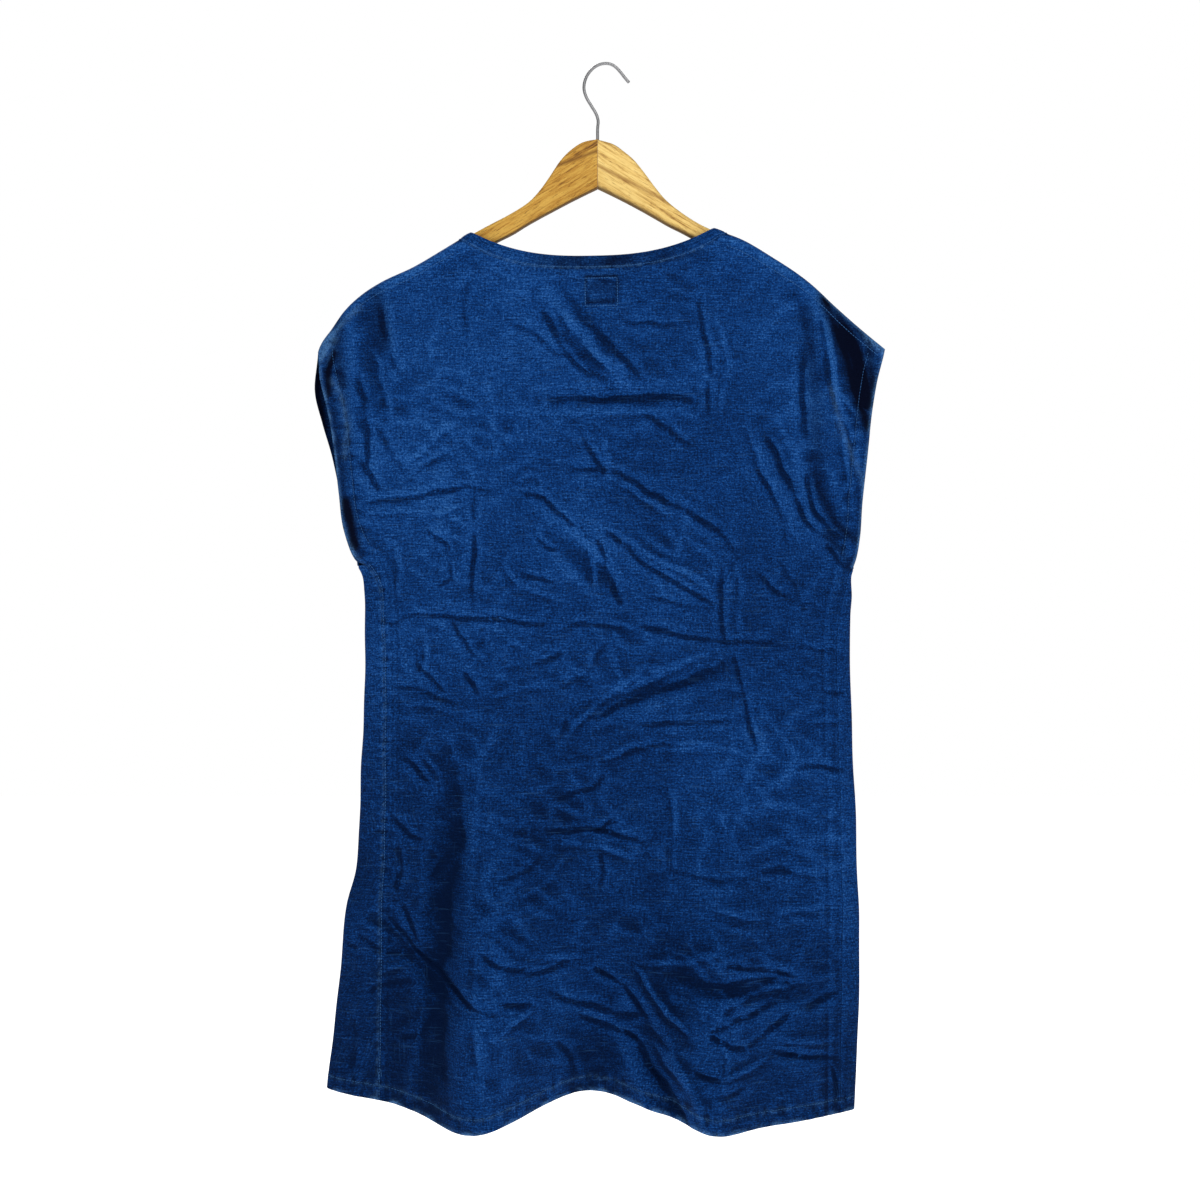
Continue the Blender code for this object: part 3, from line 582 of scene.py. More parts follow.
    Fold([(-204, -970), (-184, -960), (-164, -930)], 6.0, -1.4, 0.4),
    Fold([(-257, -940), (-251, -975), (-253, -1009)], 6.0, -1.5, 0.5),
    Fold(
        [
            (-161, -678), (-146, -733), (-148, -792), (-156, -843), (-164, -891), (-162, -970),
            (-152, -1039),
        ],
        15.0,
        -3.8,
        0.9,
    ),
    Fold([(-180, -891), (-184, -940), (-190, -999)], 8.0, 1.6, 0.6),
    Fold([(-130, -871), (-126, -930), (-123, -1029)], 8.0, 1.8, 0.7),
    Fold([(-105, -926), (-81, -930), (-58, -936)], 5.0, -1.8, 0.35),
    Fold([(-113, -966), (-90, -951), (-68, -936)], 5.5, 2.0, 0.35),
    Fold([(-81, -903), (-57, -898), (-35, -890)], 4.5, -1.8, 0.35),
    Fold([(-68, -915), (-36, -932), (4, -944), (53, -948)], 6.0, -1.6, 0.4),
    Fold([(-24, -948), (-5, -956), (14, -964)], 5.0, -2.6, 0.3),
    Fold([(-12, -901), (1, -910), (14, -919)], 5.0, -2.4, 0.3),
    Fold([(-75, -886), (-36, -889), (4, -879)], 6.0, 1.2, 0.4),
    Fold([(-125, -881), (-105, -893), (-77, -898)], 5.5, -1.5, 0.4),
    Fold([(-49, -970), (-36, -991), (-30, -1014)], 7.0, -1.6, 0.5),
    Fold([(28, -892), (41, -915), (61, -942), (89, -965)], 6.0, 3.6, 0.25),
    Fold([(14, -915), (34, -940), (49, -960), (64, -978)], 6.5, -3.8, 0.3),
    Fold([(34, -970), (45, -991), (61, -1019), (80, -1051)], 8.5, -6.0, 0.28),
    Fold([(12, -961), (24, -965), (35, -972)], 5.0, -2.8, 0.3),
    Fold([(48, -970), (61, -989), (83, -1021), (93, -1047)], 8.0, 2.4, 0.45),
    Fold(
        [(56, -905), (84, -909), (118, -910), (145, -907), (159, -911), (203, -919)],
        6.0,
        -3.6,
        0.28,
    ),
    Fold([(114, -892), (160, -900), (207, -913)], 5.5, -3.2, 0.28),
    Fold([(28, -892), (73, -896), (114, -881)], 5.0, 1.8, 0.35),
    Fold([(83, -922), (132, -926), (192, -916), (231, -906)], 6.5, 2.0, 0.4),
    Fold([(97, -952), (134, -942), (173, -934)], 5.0, -2.2, 0.3),
    Fold([(99, -954), (116, -962), (134, -971)], 5.0, -2.4, 0.3),
    Fold([(134, -970), (160, -954), (185, -940)], 5.0, -2.4, 0.3),
    Fold([(103, -948), (114, -930), (132, -920)], 5.0, 1.6, 0.35),
    Fold([(109, -960), (120, -977), (116, -993)], 5.0, 1.8, 0.35),
    Fold([(155, -974), (173, -981), (192, -985), (235, -988)], 5.5, -3.2, 0.28),
    Fold([(152, -962), (192, -970), (237, -968)], 6.0, 1.5, 0.4),
    Fold([(84, -994), (99, -998), (114, -1001)], 5.0, -2.8, 0.28),
    Fold([(116, -1000), (138, -992), (159, -984)], 5.0, 2.2, 0.3),
    Fold([(93, -1023), (117, -1017), (137, -1007)], 5.0, -1.8, 0.35),
    Fold([(182, -945), (211, -930), (243, -915)], 6.0, -1.6, 0.4),
    Fold([(53, -802), (113, -812), (172, -804), (231, -812)], 8.0, -1.0, 0.5),
    Fold([(93, -836), (152, -846), (221, -836)], 7.0, 0.9, 0.5),
    Fold([(219, -991), (227, -1009), (231, -1043)], 4.0, -2.0, 0.3),
    Fold([(203, -999), (209, -1024), (213, -1047)], 7.0, 1.2, 0.5),
]
print(len(BACK_FOLDS), "creases on the back")

# %% Creases of the front, of the same kinds in other places
FRONT_FOLDS = [
    Fold(
        [
            (-238, -560), (-170, -552), (-90, -557), (-10, -562), (80, -570), (160, -566),
            (240, -574),
        ],
        5.5,
        -2.6,
        0.25,
    ),
    Fold([(-150, -262), (-128, -300), (-104, -338), (-92, -372)], 7.5, 3.6, 0.3),
    Fold([(-166, -270), (-142, -312), (-118, -352)], 6.0, -2.2, 0.4),
    Fold([(142, -250), (122, -292), (98, -326), (84, -350)], 7.5, 3.4, 0.3),
    Fold([(154, -262), (136, -306), (112, -346)], 6.0, -2.0, 0.4),
    Fold([(-78, -318), (-30, -330), (18, -331), (58, -322)], 6.0, -2.6, 0.35),
    Fold([(-66, -340), (-20, -348), (38, -346)], 7.0, 1.6, 0.5),
    Fold([(-222, -352), (-206, -388), (-190, -432), (-174, -470)], 7.0, -4.2, 0.3),
    Fold([(-212, -340), (-194, -382), (-176, -426)], 7.0, 2.0, 0.45),
    Fold([(-240, -392), (-220, -420), (-198, -446)], 5.5, -3.4, 0.3),
    Fold([(226, -346), (210, -384), (190, -426), (178, -466)], 7.0, -4.2, 0.3),
    Fold([(214, -338), (198, -376), (182, -414)], 7.0, 2.0, 0.45),
    Fold([(242, -400), (222, -424), (202, -440)], 5.5, -3.2, 0.3),
    Fold([(-236, -468), (-196, -462), (-150, -474), (-118, -468)], 5.5, -2.0, 0.35),
    Fold([(-70, -402), (-42, -440), (-34, -482)], 5.5, -2.4, 0.35),
    Fold([(-10, -392), (22, -428), (40, -470), (52, -498)], 6.0, -2.8, 0.3),
    Fold([(6, -386), (40, -424), (60, -470)], 6.5, 1.8, 0.45),
    Fold([(96, -418), (118, -452), (120, -492)], 5.5, -1.8, 0.35),
    Fold([(-128, -492), (-92, -508), (-58, -520)], 5.5, -2.4, 0.3),
    Fold([(-112, -482), (-72, -496), (-36, -512)], 6.5, 1.5, 0.45),
    Fold([(20, -520), (62, -508), (104, -516), (140, -532)], 5.5, -2.2, 0.35),
    Fold([(-202, -500), (-196, -530), (-206, -556)], 5.0, -1.6, 0.4),
    Fold([(-190, -590), (-170, -608), (-150, -622)], 5.0, -2.2, 0.3),
    Fold([(-120, -586), (-122, -620), (-114, -652)], 5.0, -2.0, 0.35),
    Fold([(-96, -640), (-62, -616), (-20, -602), (16, -598)], 6.5, -3.2, 0.28),
    Fold([(-84, -656), (-46, -632), (0, -618)], 6.5, 1.7, 0.45),
    Fold([(54, -592), (86, -612), (124, -622), (166, -618)], 6.0, -2.6, 0.3),
    Fold([(60, -606), (96, -628), (140, -638)], 6.5, 1.5, 0.45),
    Fold([(186, -600), (206, -622), (230, -640)], 5.5, -2.0, 0.35),
    Fold([(-228, -660), (-196, -668), (-168, -660)], 5.0, -1.8, 0.35),
    Fold([(-160, -690), (-122, -706), (-88, -700)], 5.5, -2.0, 0.35),
    Fold([(-52, -690), (-18, -672), (24, -664), (58, -670)], 5.5, -2.6, 0.3),
    Fold([(-44, -704), (0, -688), (44, -684)], 6.0, 1.4, 0.45),
    Fold([(96, -676), (112, -706), (108, -740)], 5.5, -2.0, 0.35),
    Fold([(166, -690), (200, -704), (236, -700)], 5.5, -1.8, 0.35),
    Fold([(-212, -738), (-178, -756), (-150, -786)], 6.0, -2.6, 0.3),
    Fold([(-100, -740), (-64, -756), (-30, -762), (8, -752)], 5.5, -3.0, 0.28),
    Fold([(-92, -756), (-50, -772), (0, -774)], 6.5, 1.5, 0.45),
    Fold([(34, -742), (70, -770), (92, -806)], 6.0, -2.2, 0.35),
    Fold([(150, -760), (182, -780), (222, -784)], 5.5, -2.0, 0.35),
    Fold([(-242, -820), (-216, -846), (-188, -864), (-160, -890)], 6.5, -3.8, 0.3),
    Fold([(-226, -812), (-196, -838), (-166, -862)], 6.5, 2.0, 0.45),
    Fold([(-130, -846), (-98, -832), (-62, -842)], 5.5, -2.2, 0.35),
    Fold([(-30, -838), (4, -858), (22, -892)], 6.0, -2.6, 0.3),
    Fold([(62, -836), (96, -852), (132, -846), (160, -830)], 5.5, -2.6, 0.3),
    Fold([(178, -856), (206, -842), (240, -846)], 5.5, -2.4, 0.3),
    Fold([(-210, -930), (-184, -950), (-170, -984)], 6.5, -2.8, 0.35),
    Fold([(-126, -930), (-92, -918), (-58, -930), (-34, -956)], 6.0, -3.2, 0.3),
    Fold([(-116, -944), (-86, -934), (-54, -948)], 6.0, 1.8, 0.4),
    Fold([(-8, -930), (26, -944), (52, -978), (66, -1020)], 7.5, -4.6, 0.3),
    Fold([(8, -922), (44, -938), (72, -974)], 7.5, 2.0, 0.45),
    Fold([(90, -914), (124, -928), (166, -922), (206, -934)], 6.0, -3.2, 0.28),
    Fold([(100, -932), (140, -944), (190, -948)], 6.5, 1.7, 0.45),
    Fold([(130, -972), (160, -986), (200, -980)], 5.5, -2.4, 0.3),
    Fold([(-232, -990), (-206, -1000), (-188, -1020)], 5.5, -2.0, 0.35),
    Fold([(-70, -990), (-50, -1006), (-46, -1028)], 6.0, -2.0, 0.35),
    Fold([(96, -1000), (108, -1020), (104, -1040)], 6.0, -2.0, 0.35),
]
FOLDS = {BACK: BACK_FOLDS, FRONT: FRONT_FOLDS}
print(len(FRONT_FOLDS), "creases on the front")

# %% How far the small creases stand out at any point
def fold_out(side, x, z):
    """Each crease is steep on one flank, runs out slowly on the other and wanders a little."""
    total = np.zeros_like(x)
    drift_x = 1.9 * waves(x, z, 42.0, 21) + 0.5 * waves(x, z, 13.0, 22)
    drift_z = 1.9 * waves(x, z, 42.0, 23) + 0.5 * waves(x, z, 13.0, 24)
    uneven = 0.90 + 0.40 * waves(x, z, 23.0, 25)
    x = x + drift_x
    z = z + drift_z
    for fold in FOLDS[side]:
        points = np.array(fold.points, float)
        lengths = np.linalg.norm(np.diff(points, axis=0), axis=1)
        before = np.concatenate([[0.0], np.cumsum(lengths)])
        reach = 3.2 * fold.width
        near = (x > points[:, 0].min() - reach) & (x < points[:, 0].max() + reach)
        near &= (z > points[:, 1].min() - reach) & (z < points[:, 1].max() + reach)
        if not near.any():
            continue
        px = x[near]
        pz = z[near]
        away = np.full(px.shape, 1e9)
        lit = np.zeros(px.shape)
        share = np.zeros(px.shape)
        for start, end, length, passed in zip(points, points[1:], lengths, before):
            run = (end - start) / length
            off_x = px - start[0]
            off_z = pz - start[1]
            along = np.clip(off_x * run[0] + off_z * run[1], 0.0, length)
            gap = np.hypot(off_x - run[0] * along, off_z - run[1] * along)
            faces_light = math.copysign(1.0, -run[1] * 0.35 + run[0] * 0.94)
            closer = gap < away
            away = np.where(closer, gap, away)
            lit = np.where(closer, (run[0] * off_z - run[1] * off_x) * faces_light, lit)
            share = np.where(closer, (passed + along) / before[-1], share)
        steep = lit * fold.out < 0
        width = np.maximum(fold.width * np.where(steep, 0.40, 1.0), 1.8)
        fade = 1 - np.abs(2 * share - 1) ** 3
        profile = np.exp(-1.7 * (np.sqrt((away / width) ** 2 + fold.soft**2) - fold.soft))
        total[near] += fold.out * fade * profile
    return total * uneven


storage_z = np.linspace(-570.0, -550.0, 5)
print("down over the storage crease:", fold_out(BACK, np.full(5, MIDDLE_X), storage_z).round(1))

# %% Crumples between the creases
def crumple_out(side, x, z):
    """Faint sharp-edged crumples, stronger in the lower half."""
    seed = 10 if side == BACK else 40
    low = smoothstep((-420 - z) / 520)
    wide = 1 - np.sqrt(waves(x, z, 62.0, seed, 1.5, 0.6) ** 2 + 0.010)
    small = 1 - np.sqrt(waves(x, z, 26.0, seed + 1, 1.8, -0.8) ** 2 + 0.012)
    fine = 1 - np.sqrt(waves(x, z, 13.0, seed + 2, 2.2, 0.9) ** 2 + 0.02)
    patch = 0.55 + 0.45 * waves(x, z, 120.0, seed + 3)
    spots = 0.5 + 0.5 * waves(x, z, 75.0, seed + 4)
    total = (0.55 + 0.45 * low) * wide + (0.50 + 0.60 * low) * small * patch
    return total + (0.50 + 0.25 * low) * fine * spots


low_crumples = crumple_out(BACK, np.linspace(-100.0, 100.0, 50), np.full(50, -900.0))
print("crumples near the hem rise", round(float(np.ptp(low_crumples)), 1), "mm")

# %% [markdown]
# ## Sewn edges
# A row of stitches pulls two or three layers together, so it lies in a shallow groove and the
# cloth beside it puckers in short waves, never quite evenly. The waves are noise along the seam
# that dies out a centimetre from it. The seams are told by the same two numbers as the cloth.

# %% Where the side seams run
def edge_t(cut_name, down):
    """Distance t of a panel's edge from the middle."""
    cut = np.abs(LEVEL_AT[cut_name](down))
    return 1 - np.maximum(cut, 0.1) / half_width(down)


def seam_distance(t, down):
    """How far in mm a point of the back lies from the nearer side edge, minus outside it."""
    left = edge_t("back_left", down)
    right = edge_t("back_right", down)
    return np.where(t < 0, t + left, right - t) * half_width(down)


print("the left seam at mid height is at t", round(float(-edge_t("back_left", 0.5)), 3))

# %% Grooves and puckers beside the sewing
HALF_ACROSS = 260.0
ARM_BAND = 14.2
ARM_STITCH = 13.6
SIDE_STITCH = 2.4


def hump(away, width):
    """1 on a line, falling smoothly to 0 within about twice this width."""
    return np.exp(-((away / width) ** 2))


def sewing_out(side, t, down, x, z):
    """Height of the turned bands, their stitched grooves and the puckers beside them."""
    total = np.zeros_like(x)
    from_hem = (1 - down) * TALL
    row = (1 - HEM_ROW) * TALL
    pucker = waves(x, z * 0.15, 4.2, 71) + 0.6 * waves(x, z * 0.2, 9.0, 72)
    total += 0.34 * pucker * hump(from_hem - row, 6.0)
    total += 0.22 * waves(x, z * 0.2, 6.0, 73) * smoothstep(1 - from_hem / 13.0)
    total += 0.45 * smoothstep((row + 0.6 - from_hem) / 1.2)
    total -= 0.55 * hump(from_hem - row, 0.9)
    edge = seam_distance(t, down)
    below = down > UNDERARM
    if side == BACK:
        seam = np.where(below & (t < 0), 1.0, 0.0)
        pucker = waves(x * 0.15, z, 4.6, 75) + 0.6 * waves(x * 0.2, z, 11.0, 76)
        total += seam * 0.36 * pucker * hump(edge - 1.0, 5.5)
        total -= seam * 0.5 * hump(edge - SIDE_STITCH, 0.9)
        total += seam * 0.35 * smoothstep((edge + 0.3) / 1.2) * smoothstep((9.0 - edge) / 2.0)
    hole = np.where(below, 0.0, smoothstep((UNDERARM - down) / 0.02))
    inside = edge if side == BACK else (1 - np.abs(t)) * HALF_ACROSS
    total += hole * 0.4 * waves(x * 0.2, z, 6.5, 78) * hump(inside - 13.5, 6.0)
    total += hole * 0.4 * smoothstep((ARM_BAND - inside) / 1.2)
    total -= hole * 0.55 * hump(inside - ARM_STITCH, 0.9)
    return total


hem_groove = sewing_out(BACK, np.zeros(1), np.full(1, HEM_ROW), np.zeros(1), np.full(1, middle_low))
print("the hem at its stitched line stands", round(float(hem_groove[0]), 2), "mm out")

# %% The cloth's surface
def cloth_point(side, t, down):
    """Points on the outer face of this side of the body, in mm, with all creases."""
    t, down = np.broadcast_arrays(np.asarray(t, float), np.asarray(down, float))
    x_top = x_at(t, 0.0)
    x = x_at(t, down)
    top = panel_top(side, x_top)
    z = blend(top, HEM_AT(x_at(t, 1.0)), down)
    line = SHOULDER_AT(x_top)
    deep = LEVEL_AT["back_deep" if side == BACK else "front_deep"](down)
    tube = np.sqrt(np.maximum(0.0, 1 - np.abs(t) ** TUBE_POWER))
    below = np.clip((line - z) / SHOULDER_ROUND, 0.0, 1.0)
    arch = np.sqrt(1 - (1 - below) ** 2)
    most = BACK_GAPE if side == BACK else FRONT_GAPE
    gape = np.where(down < UNDERARM, most * np.sin(np.pi * down / UNDERARM) * np.abs(t) ** 10, 0.0)
    large = (lobe_out(side, x, z) + crease_out(side, x, z)) * (1 - np.abs(t) ** 8)
    firm = 0.85 + 0.45 * smoothstep((-520 - z) / 400)
    small = firm * fold_out(side, x, z) + 0.70 * crumple_out(side, x, z) - 0.7
    free = smoothstep((line - z - 4.0) / 26.0) * smoothstep(down * TALL / 16.0)
    small = small * free * (1 - np.abs(t) ** 14)
    small += sewing_out(side, t, down, x, z) * smoothstep(down * TALL / 9.0)
    y = side * arch * (deep * tube + large + gape + small)
    return np.stack([x, y, z], axis=-1)


def wrapped_point(angle, down):
    """Points told by their angle round the tube: the front lies between 0 and pi."""
    angle, down = np.broadcast_arrays(np.asarray(angle, float), np.asarray(down, float))
    t = -np.cos(angle)
    front = ((angle >= 0) & (angle <= np.pi))[..., None]
    return np.where(front, cloth_point(FRONT, t, down), cloth_point(BACK, t, down))


test_place = cloth_point(BACK, 0.0, 0.5)
print("the middle of the back stands at", [round(float(c), 1) for c in test_place], "mm")

# %% [markdown]
# ## Back and front panels
# A panel is one piece of cloth. A grid of points on the surface gives it, with rows and columns
# close together at the hem, the armholes and the seams where the sewing is fine, and 3 mm apart
# elsewhere. The inner face is every second point of that grid, one cloth thickness further in,
# and the two faces are closed at the rim: a solidify modifier would double the triangles where
# nobody looks. The grid's real lengths become its UV map, so that the weave keeps its size
# wherever the cloth folds.

# %% Rows and columns of the grids
NEAR_TOP = [0.0, 0.3, 0.9, 1.8, 3.0, 4.6, 6.6, 9.0, 11.2, 12.6, 14.0, 16.5]
NEAR_HEM = [20.0, 17.6, 16.2, 15.3, 14.7, 14.2, 13.7, 13.0, 11.6, 9.4, 7.0, 4.6, 2.4, 0.9, 0.0]
NEAR_EDGE = [0.0, 1.0, 1.9, 2.7, 3.6, 5.0, 7.0, 9.2, 11.2, 12.6, 13.4, 14.2, 15.6, 18.0]
TURN_T = 0.80


def panel_rows(count):
    middle = np.linspace(NEAR_TOP[-1] + 3.4, TALL - NEAR_HEM[0] - 3.0, count)
    hem = [TALL - d for d in NEAR_HEM]
    return np.concatenate([NEAR_TOP, middle, hem]) / TALL


def back_places(down, count):
    """t of each column in one row of the back."""
    left = -float(edge_t("back_left", down))
    right = float(edge_t("back_right", down))
    near = np.array(NEAR_EDGE) / half_width(down)
    middle = np.linspace(left + near[-1], right - near[-1], count + 2)[1:-1]
    return np.concatenate([left + near, middle, right - near[::-1]])


def front_places(down, middle_count, side_count):
    """Angle of each column in one row of the front, close together where it folds round."""
    turn = math.acos(TURN_T)
    ends = []
    for name in ("front_left", "front_right"):
        wrapped = float(LEVEL_AT[name](down)) < 0
        angle = math.acos(float(edge_t(name, down)))
        ends.append(-angle if wrapped else angle)
    shares = np.linspace(0.0, 1.0, side_count) ** 1.15
    left = blend(ends[0], turn, shares)
    right = math.pi - blend(ends[1], turn, shares)[::-1]
    middle = np.arccos(-np.linspace(-TURN_T, TURN_T, middle_count + 2)[1:-1])
    return np.concatenate([left, middle, right])


print("rows:", len(panel_rows(306)), "and columns of the back:", len(back_places(0.5, 183)))

# %% A grid of points becomes cloth
def relief_of(grid, reach):
    """How far each point stands out of the mean of its neighbours, in mm along y."""
    y = grid[..., 1]
    mean = y.copy()
    for _ in range(reach):
        padded = np.pad(mean, 1, mode="edge")
        mean = (padded[:-2, 1:-1] + padded[2:, 1:-1] + padded[1:-1, :-2] + padded[1:-1, 2:]) / 4
    return y - mean


def on_both_faces(values):
    """Values of the fine outer grid, then of the inner one, which has every second point."""
    return np.concatenate([values.reshape(-1), values[::2, ::2].reshape(-1)])


def add_values(obj, name, values):
    """A number for each point of a mesh, which its finish reads."""
    made = obj.data.attributes.new(name, "FLOAT", "POINT")
    made.data.foreach_set("value", values.astype(np.float32))


def smooth_object(name, points, faces):
    """An object with smooth faces that all point outwards."""
    mesh = bpy.data.meshes.new(name)
    mesh.from_pydata(points, [], faces)
    made = bmesh.new()
    made.from_mesh(mesh)
    bmesh.ops.recalc_face_normals(made, faces=made.faces)
    made.to_mesh(mesh)
    made.free()
    mesh.shade_smooth()
    obj = bpy.data.objects.new(name, mesh)
    bpy.context.scene.collection.objects.link(obj)
    return obj


def quads(index):
    """A four-sided face for each cell of a grid of point numbers."""
    corners = [index[:-1, :-1], index[:-1, 1:], index[1:, 1:], index[1:, :-1]]
    return np.stack(corners, axis=-1).reshape(-1, 4).tolist()


def rim_of(index):
    """The numbers round the edge of a grid, in order."""
    return np.concatenate([index[0, :-1], index[:-1, -1], index[-1, :0:-1], index[:0:-1, 0]])


def cloth_object(name, grid, signs, facing, thickness):
    """A closed wall with a fine outer face and an inner face of every second point."""
    run = np.gradient(grid, axis=1)
    fall = np.gradient(grid, axis=0)
    normals = np.cross(fall, run) * facing
    normals /= np.linalg.norm(normals, axis=-1)[..., None]
    inner = (grid - normals * thickness)[::2, ::2]
    outer_index = np.arange(grid[..., 0].size).reshape(grid.shape[:2])
    inner_index = np.arange(inner[..., 0].size).reshape(inner.shape[:2]) + outer_index.size
    faces = quads(outer_index) + quads(inner_index)
    outside = rim_of(outer_index)
    inside = rim_of(inner_index)
    for i in range(len(inside)):
        first, middle, last = (int(outside[(2 * i + k) % len(outside)]) for k in range(3))
        faces.append([first, middle, last, int(inside[(i + 1) % len(inside)]), int(inside[i])])
    points = np.concatenate([grid.reshape(-1, 3), inner.reshape(-1, 3)]) * METRES
    obj = smooth_object(name, points.tolist(), faces)
    mesh = obj.data
    steps = np.linalg.norm(np.diff(grid, axis=1), axis=-1) * METRES
    across = np.concatenate([np.zeros((len(grid), 1)), np.cumsum(steps, axis=1)], axis=1)
    across = on_both_faces(across - across[:, across.shape[1] // 2][:, None])
    loops = np.zeros(len(mesh.loops), np.int32)
    mesh.loops.foreach_get("vertex_index", loops)
    uv = mesh.uv_layers.new(name="cloth")
    pairs = np.stack([across[loops], points[loops, 2]], axis=-1)
    uv.data.foreach_set("uv", pairs.astype(np.float32).reshape(-1))
    # The finish reads these two: paler where the cloth stands out, and painted shade in its
    # troughs.
    add_values(obj, "relief", on_both_faces(relief_of(grid, 12) * signs))
    add_values(obj, "crease", on_both_faces(relief_of(grid, 3) * signs))
    return obj


def triangle_count(obj):
    return sum(len(p.vertices) - 2 for p in obj.data.polygons)


print("a grid of 3 by 3 points has", len(quads(np.arange(9).reshape(3, 3))), "faces")

# %% The two panels
back_down = panel_rows(306)
back_t = np.stack([back_places(float(d), 183) for d in back_down])
back_grid = cloth_point(BACK, back_t, back_down[:, None])
back_signs = np.full(back_t.shape, BACK)
back_panel = cloth_object("back_cloth", back_grid, back_signs, 1.0, CLOTH)
print("back cloth:", back_grid.shape, "points,", triangle_count(back_panel), "triangles")

front_down = panel_rows(306)
front_angle = np.stack([front_places(float(d), 119, 46) for d in front_down])
front_grid = wrapped_point(front_angle, front_down[:, None])
front_signs = np.where((front_angle >= 0) & (front_angle <= np.pi), FRONT, BACK)
front_panel = cloth_object("front_cloth", front_grid, front_signs, -1.0, CLOTH)
print("front cloth:", front_grid.shape, "points,", triangle_count(front_panel), "triangles")

# %% [markdown]
# ## Neck binding
# The neck is finished with a bias strip, folded over the raw edge and stitched down along its
# lower edge. It stands proud of the panels by its own thickness and rolls over at the top. A ring
# of cross sections follows the neckline round, each a soft loop of points, so the strip keeps its
# width while it runs over the shoulder seams.

# %% Cross sections of the binding
STRIP_OVERLAP = 1.3
STRIP_LIFT = 0.15
# Share of the way up the strip and how far its face stands out there: the dip is the stitched line
STRIP_FACE = ((0.0, 0.35), (0.06, 0.75), (0.17, 0.30), (0.30, 0.85), (0.55, 1.05))


def neck_y(side, x, z):
    """Distance of the neck's surface from the middle plane."""
    t = t_of_top(x)
    tube = np.sqrt(np.maximum(0.0, 1 - np.abs(t) ** TUBE_POWER))
    below = np.clip((SHOULDER_AT(x) - z) / SHOULDER_ROUND, 0.0, 1.0)
    return side * np.sqrt(1 - (1 - below) ** 2) * LEVELS[0].back_deep * tube


def neck_normal(side, x, z):
    step = 0.4
    run = np.array([2 * step, neck_y(side, x + step, z) - neck_y(side, x - step, z), 0.0])
    fall = np.array([0.0, neck_y(side, x, z - step) - neck_y(side, x, z), -step])
    normal = np.cross(fall, run) * -side
    return normal / np.linalg.norm(normal)


def binding_section(side, x_low, on_seam):
    """A loop round the strip: its outer face with a rolled edge, then its inner face."""
    z_low = float(panel_top(side, x_low))
    reach = (x_low - BAND_LEFT) / (BAND_RIGHT - BAND_LEFT)
    x_top = blend(NECK_LEFT, NECK_RIGHT, reach)
    z_top = float(neck_edge(side, x_top))
    low = np.array([x_low, float(neck_y(side, x_low, z_low)), z_low])
    top = np.array([x_top, float(neck_y(side, x_top, z_top)), z_top])
    low_out = neck_normal(side, x_low, z_low)
    top_out = neck_normal(side, x_top, z_top)
    if on_seam:
        for normal in (low_out, top_out):
            normal[1] = 0.0
            normal /= np.linalg.norm(normal)
    up = (top - low) / np.linalg.norm(top - low)
    low = low - up * STRIP_OVERLAP
    length = x_low * (1.0 if side == BACK else 1.3)
    pucker = float(waves(np.array([length]), np.array([side * 50.0]), 5.0, 91)[0])
    wander = float(waves(np.array([length]), np.array([side * 90.0]), 26.0, 92)[0])
    loop = []
    for share, out in STRIP_FACE:
        out = out + (0.16 * pucker if share < 0.4 else 0.12 * wander)
        place = low + (top - low) * share
        loop.append(place + (low_out * (1 - share) + top_out * share) * (out + STRIP_LIFT))
    middle = (BINDING_PROUD - CLOTH) / 2
    roll = (BINDING_PROUD + CLOTH) / 2
    loop.append(low + (top - low) * 0.80 + top_out * (BINDING_PROUD + 0.35 + 0.12 * wander))
    for turn in range(15, 180, 30):
        angle = math.radians(turn)
        lift = up * BINDING_ROLL * math.sin(angle)
        loop.append(top + top_out * (middle + roll * math.cos(angle)) + lift)
    for share in (0.66, 0.33, 0.0):
        place = low + (top - low) * share
        loop.append(place - (low_out * (1 - share) + top_out * share) * (CLOTH + STRIP_LIFT))
    return loop


print("points round the strip:", len(binding_section(BACK, MIDDLE_X, False)))

# %% A closed ring through sections
def ring_loft(name, sections):
    """A body through loops of equal count, closed to a ring."""
    count = len(sections[0])
    index = np.arange(len(sections) * count).reshape(len(sections), count)
    near = np.pad(index, ((0, 1), (0, 1)), mode="wrap")
    points = (np.array(sections) * METRES).reshape(-1, 3)
    return smooth_object(name, points.tolist(), quads(near))


def loop_uv(obj, sections):
    """UV in metres: along the sections, and round each."""
    count = len(sections[0])
    table = np.array(sections) * METRES
    middles = table.mean(axis=1)
    along = np.concatenate([[0.0], np.cumsum(np.linalg.norm(np.diff(middles, axis=0), axis=1))])
    sides = np.linalg.norm(np.diff(table[len(table) // 2], axis=0), axis=1)
    round_it = np.concatenate([[0.0], np.cumsum(sides)])
    uv = obj.data.uv_layers.new(name="cloth")
    last = len(sections) - 1
    for polygon in obj.data.polygons:
        numbers = [divmod(v, count) for v in polygon.vertices]
        wraps = {0, last} <= {s for s, _ in numbers}
        closes = {0, count - 1} <= {p for _, p in numbers}
        for corner, (s, p) in zip(polygon.loop_indices, numbers):
            u = along[-1] + 0.003 if wraps and s == 0 else along[s]
            v = round_it[-1] + 0.001 if closes and p == 0 else round_it[p]
            uv.data[corner].uv = (u, v)


print("ring helpers ready")

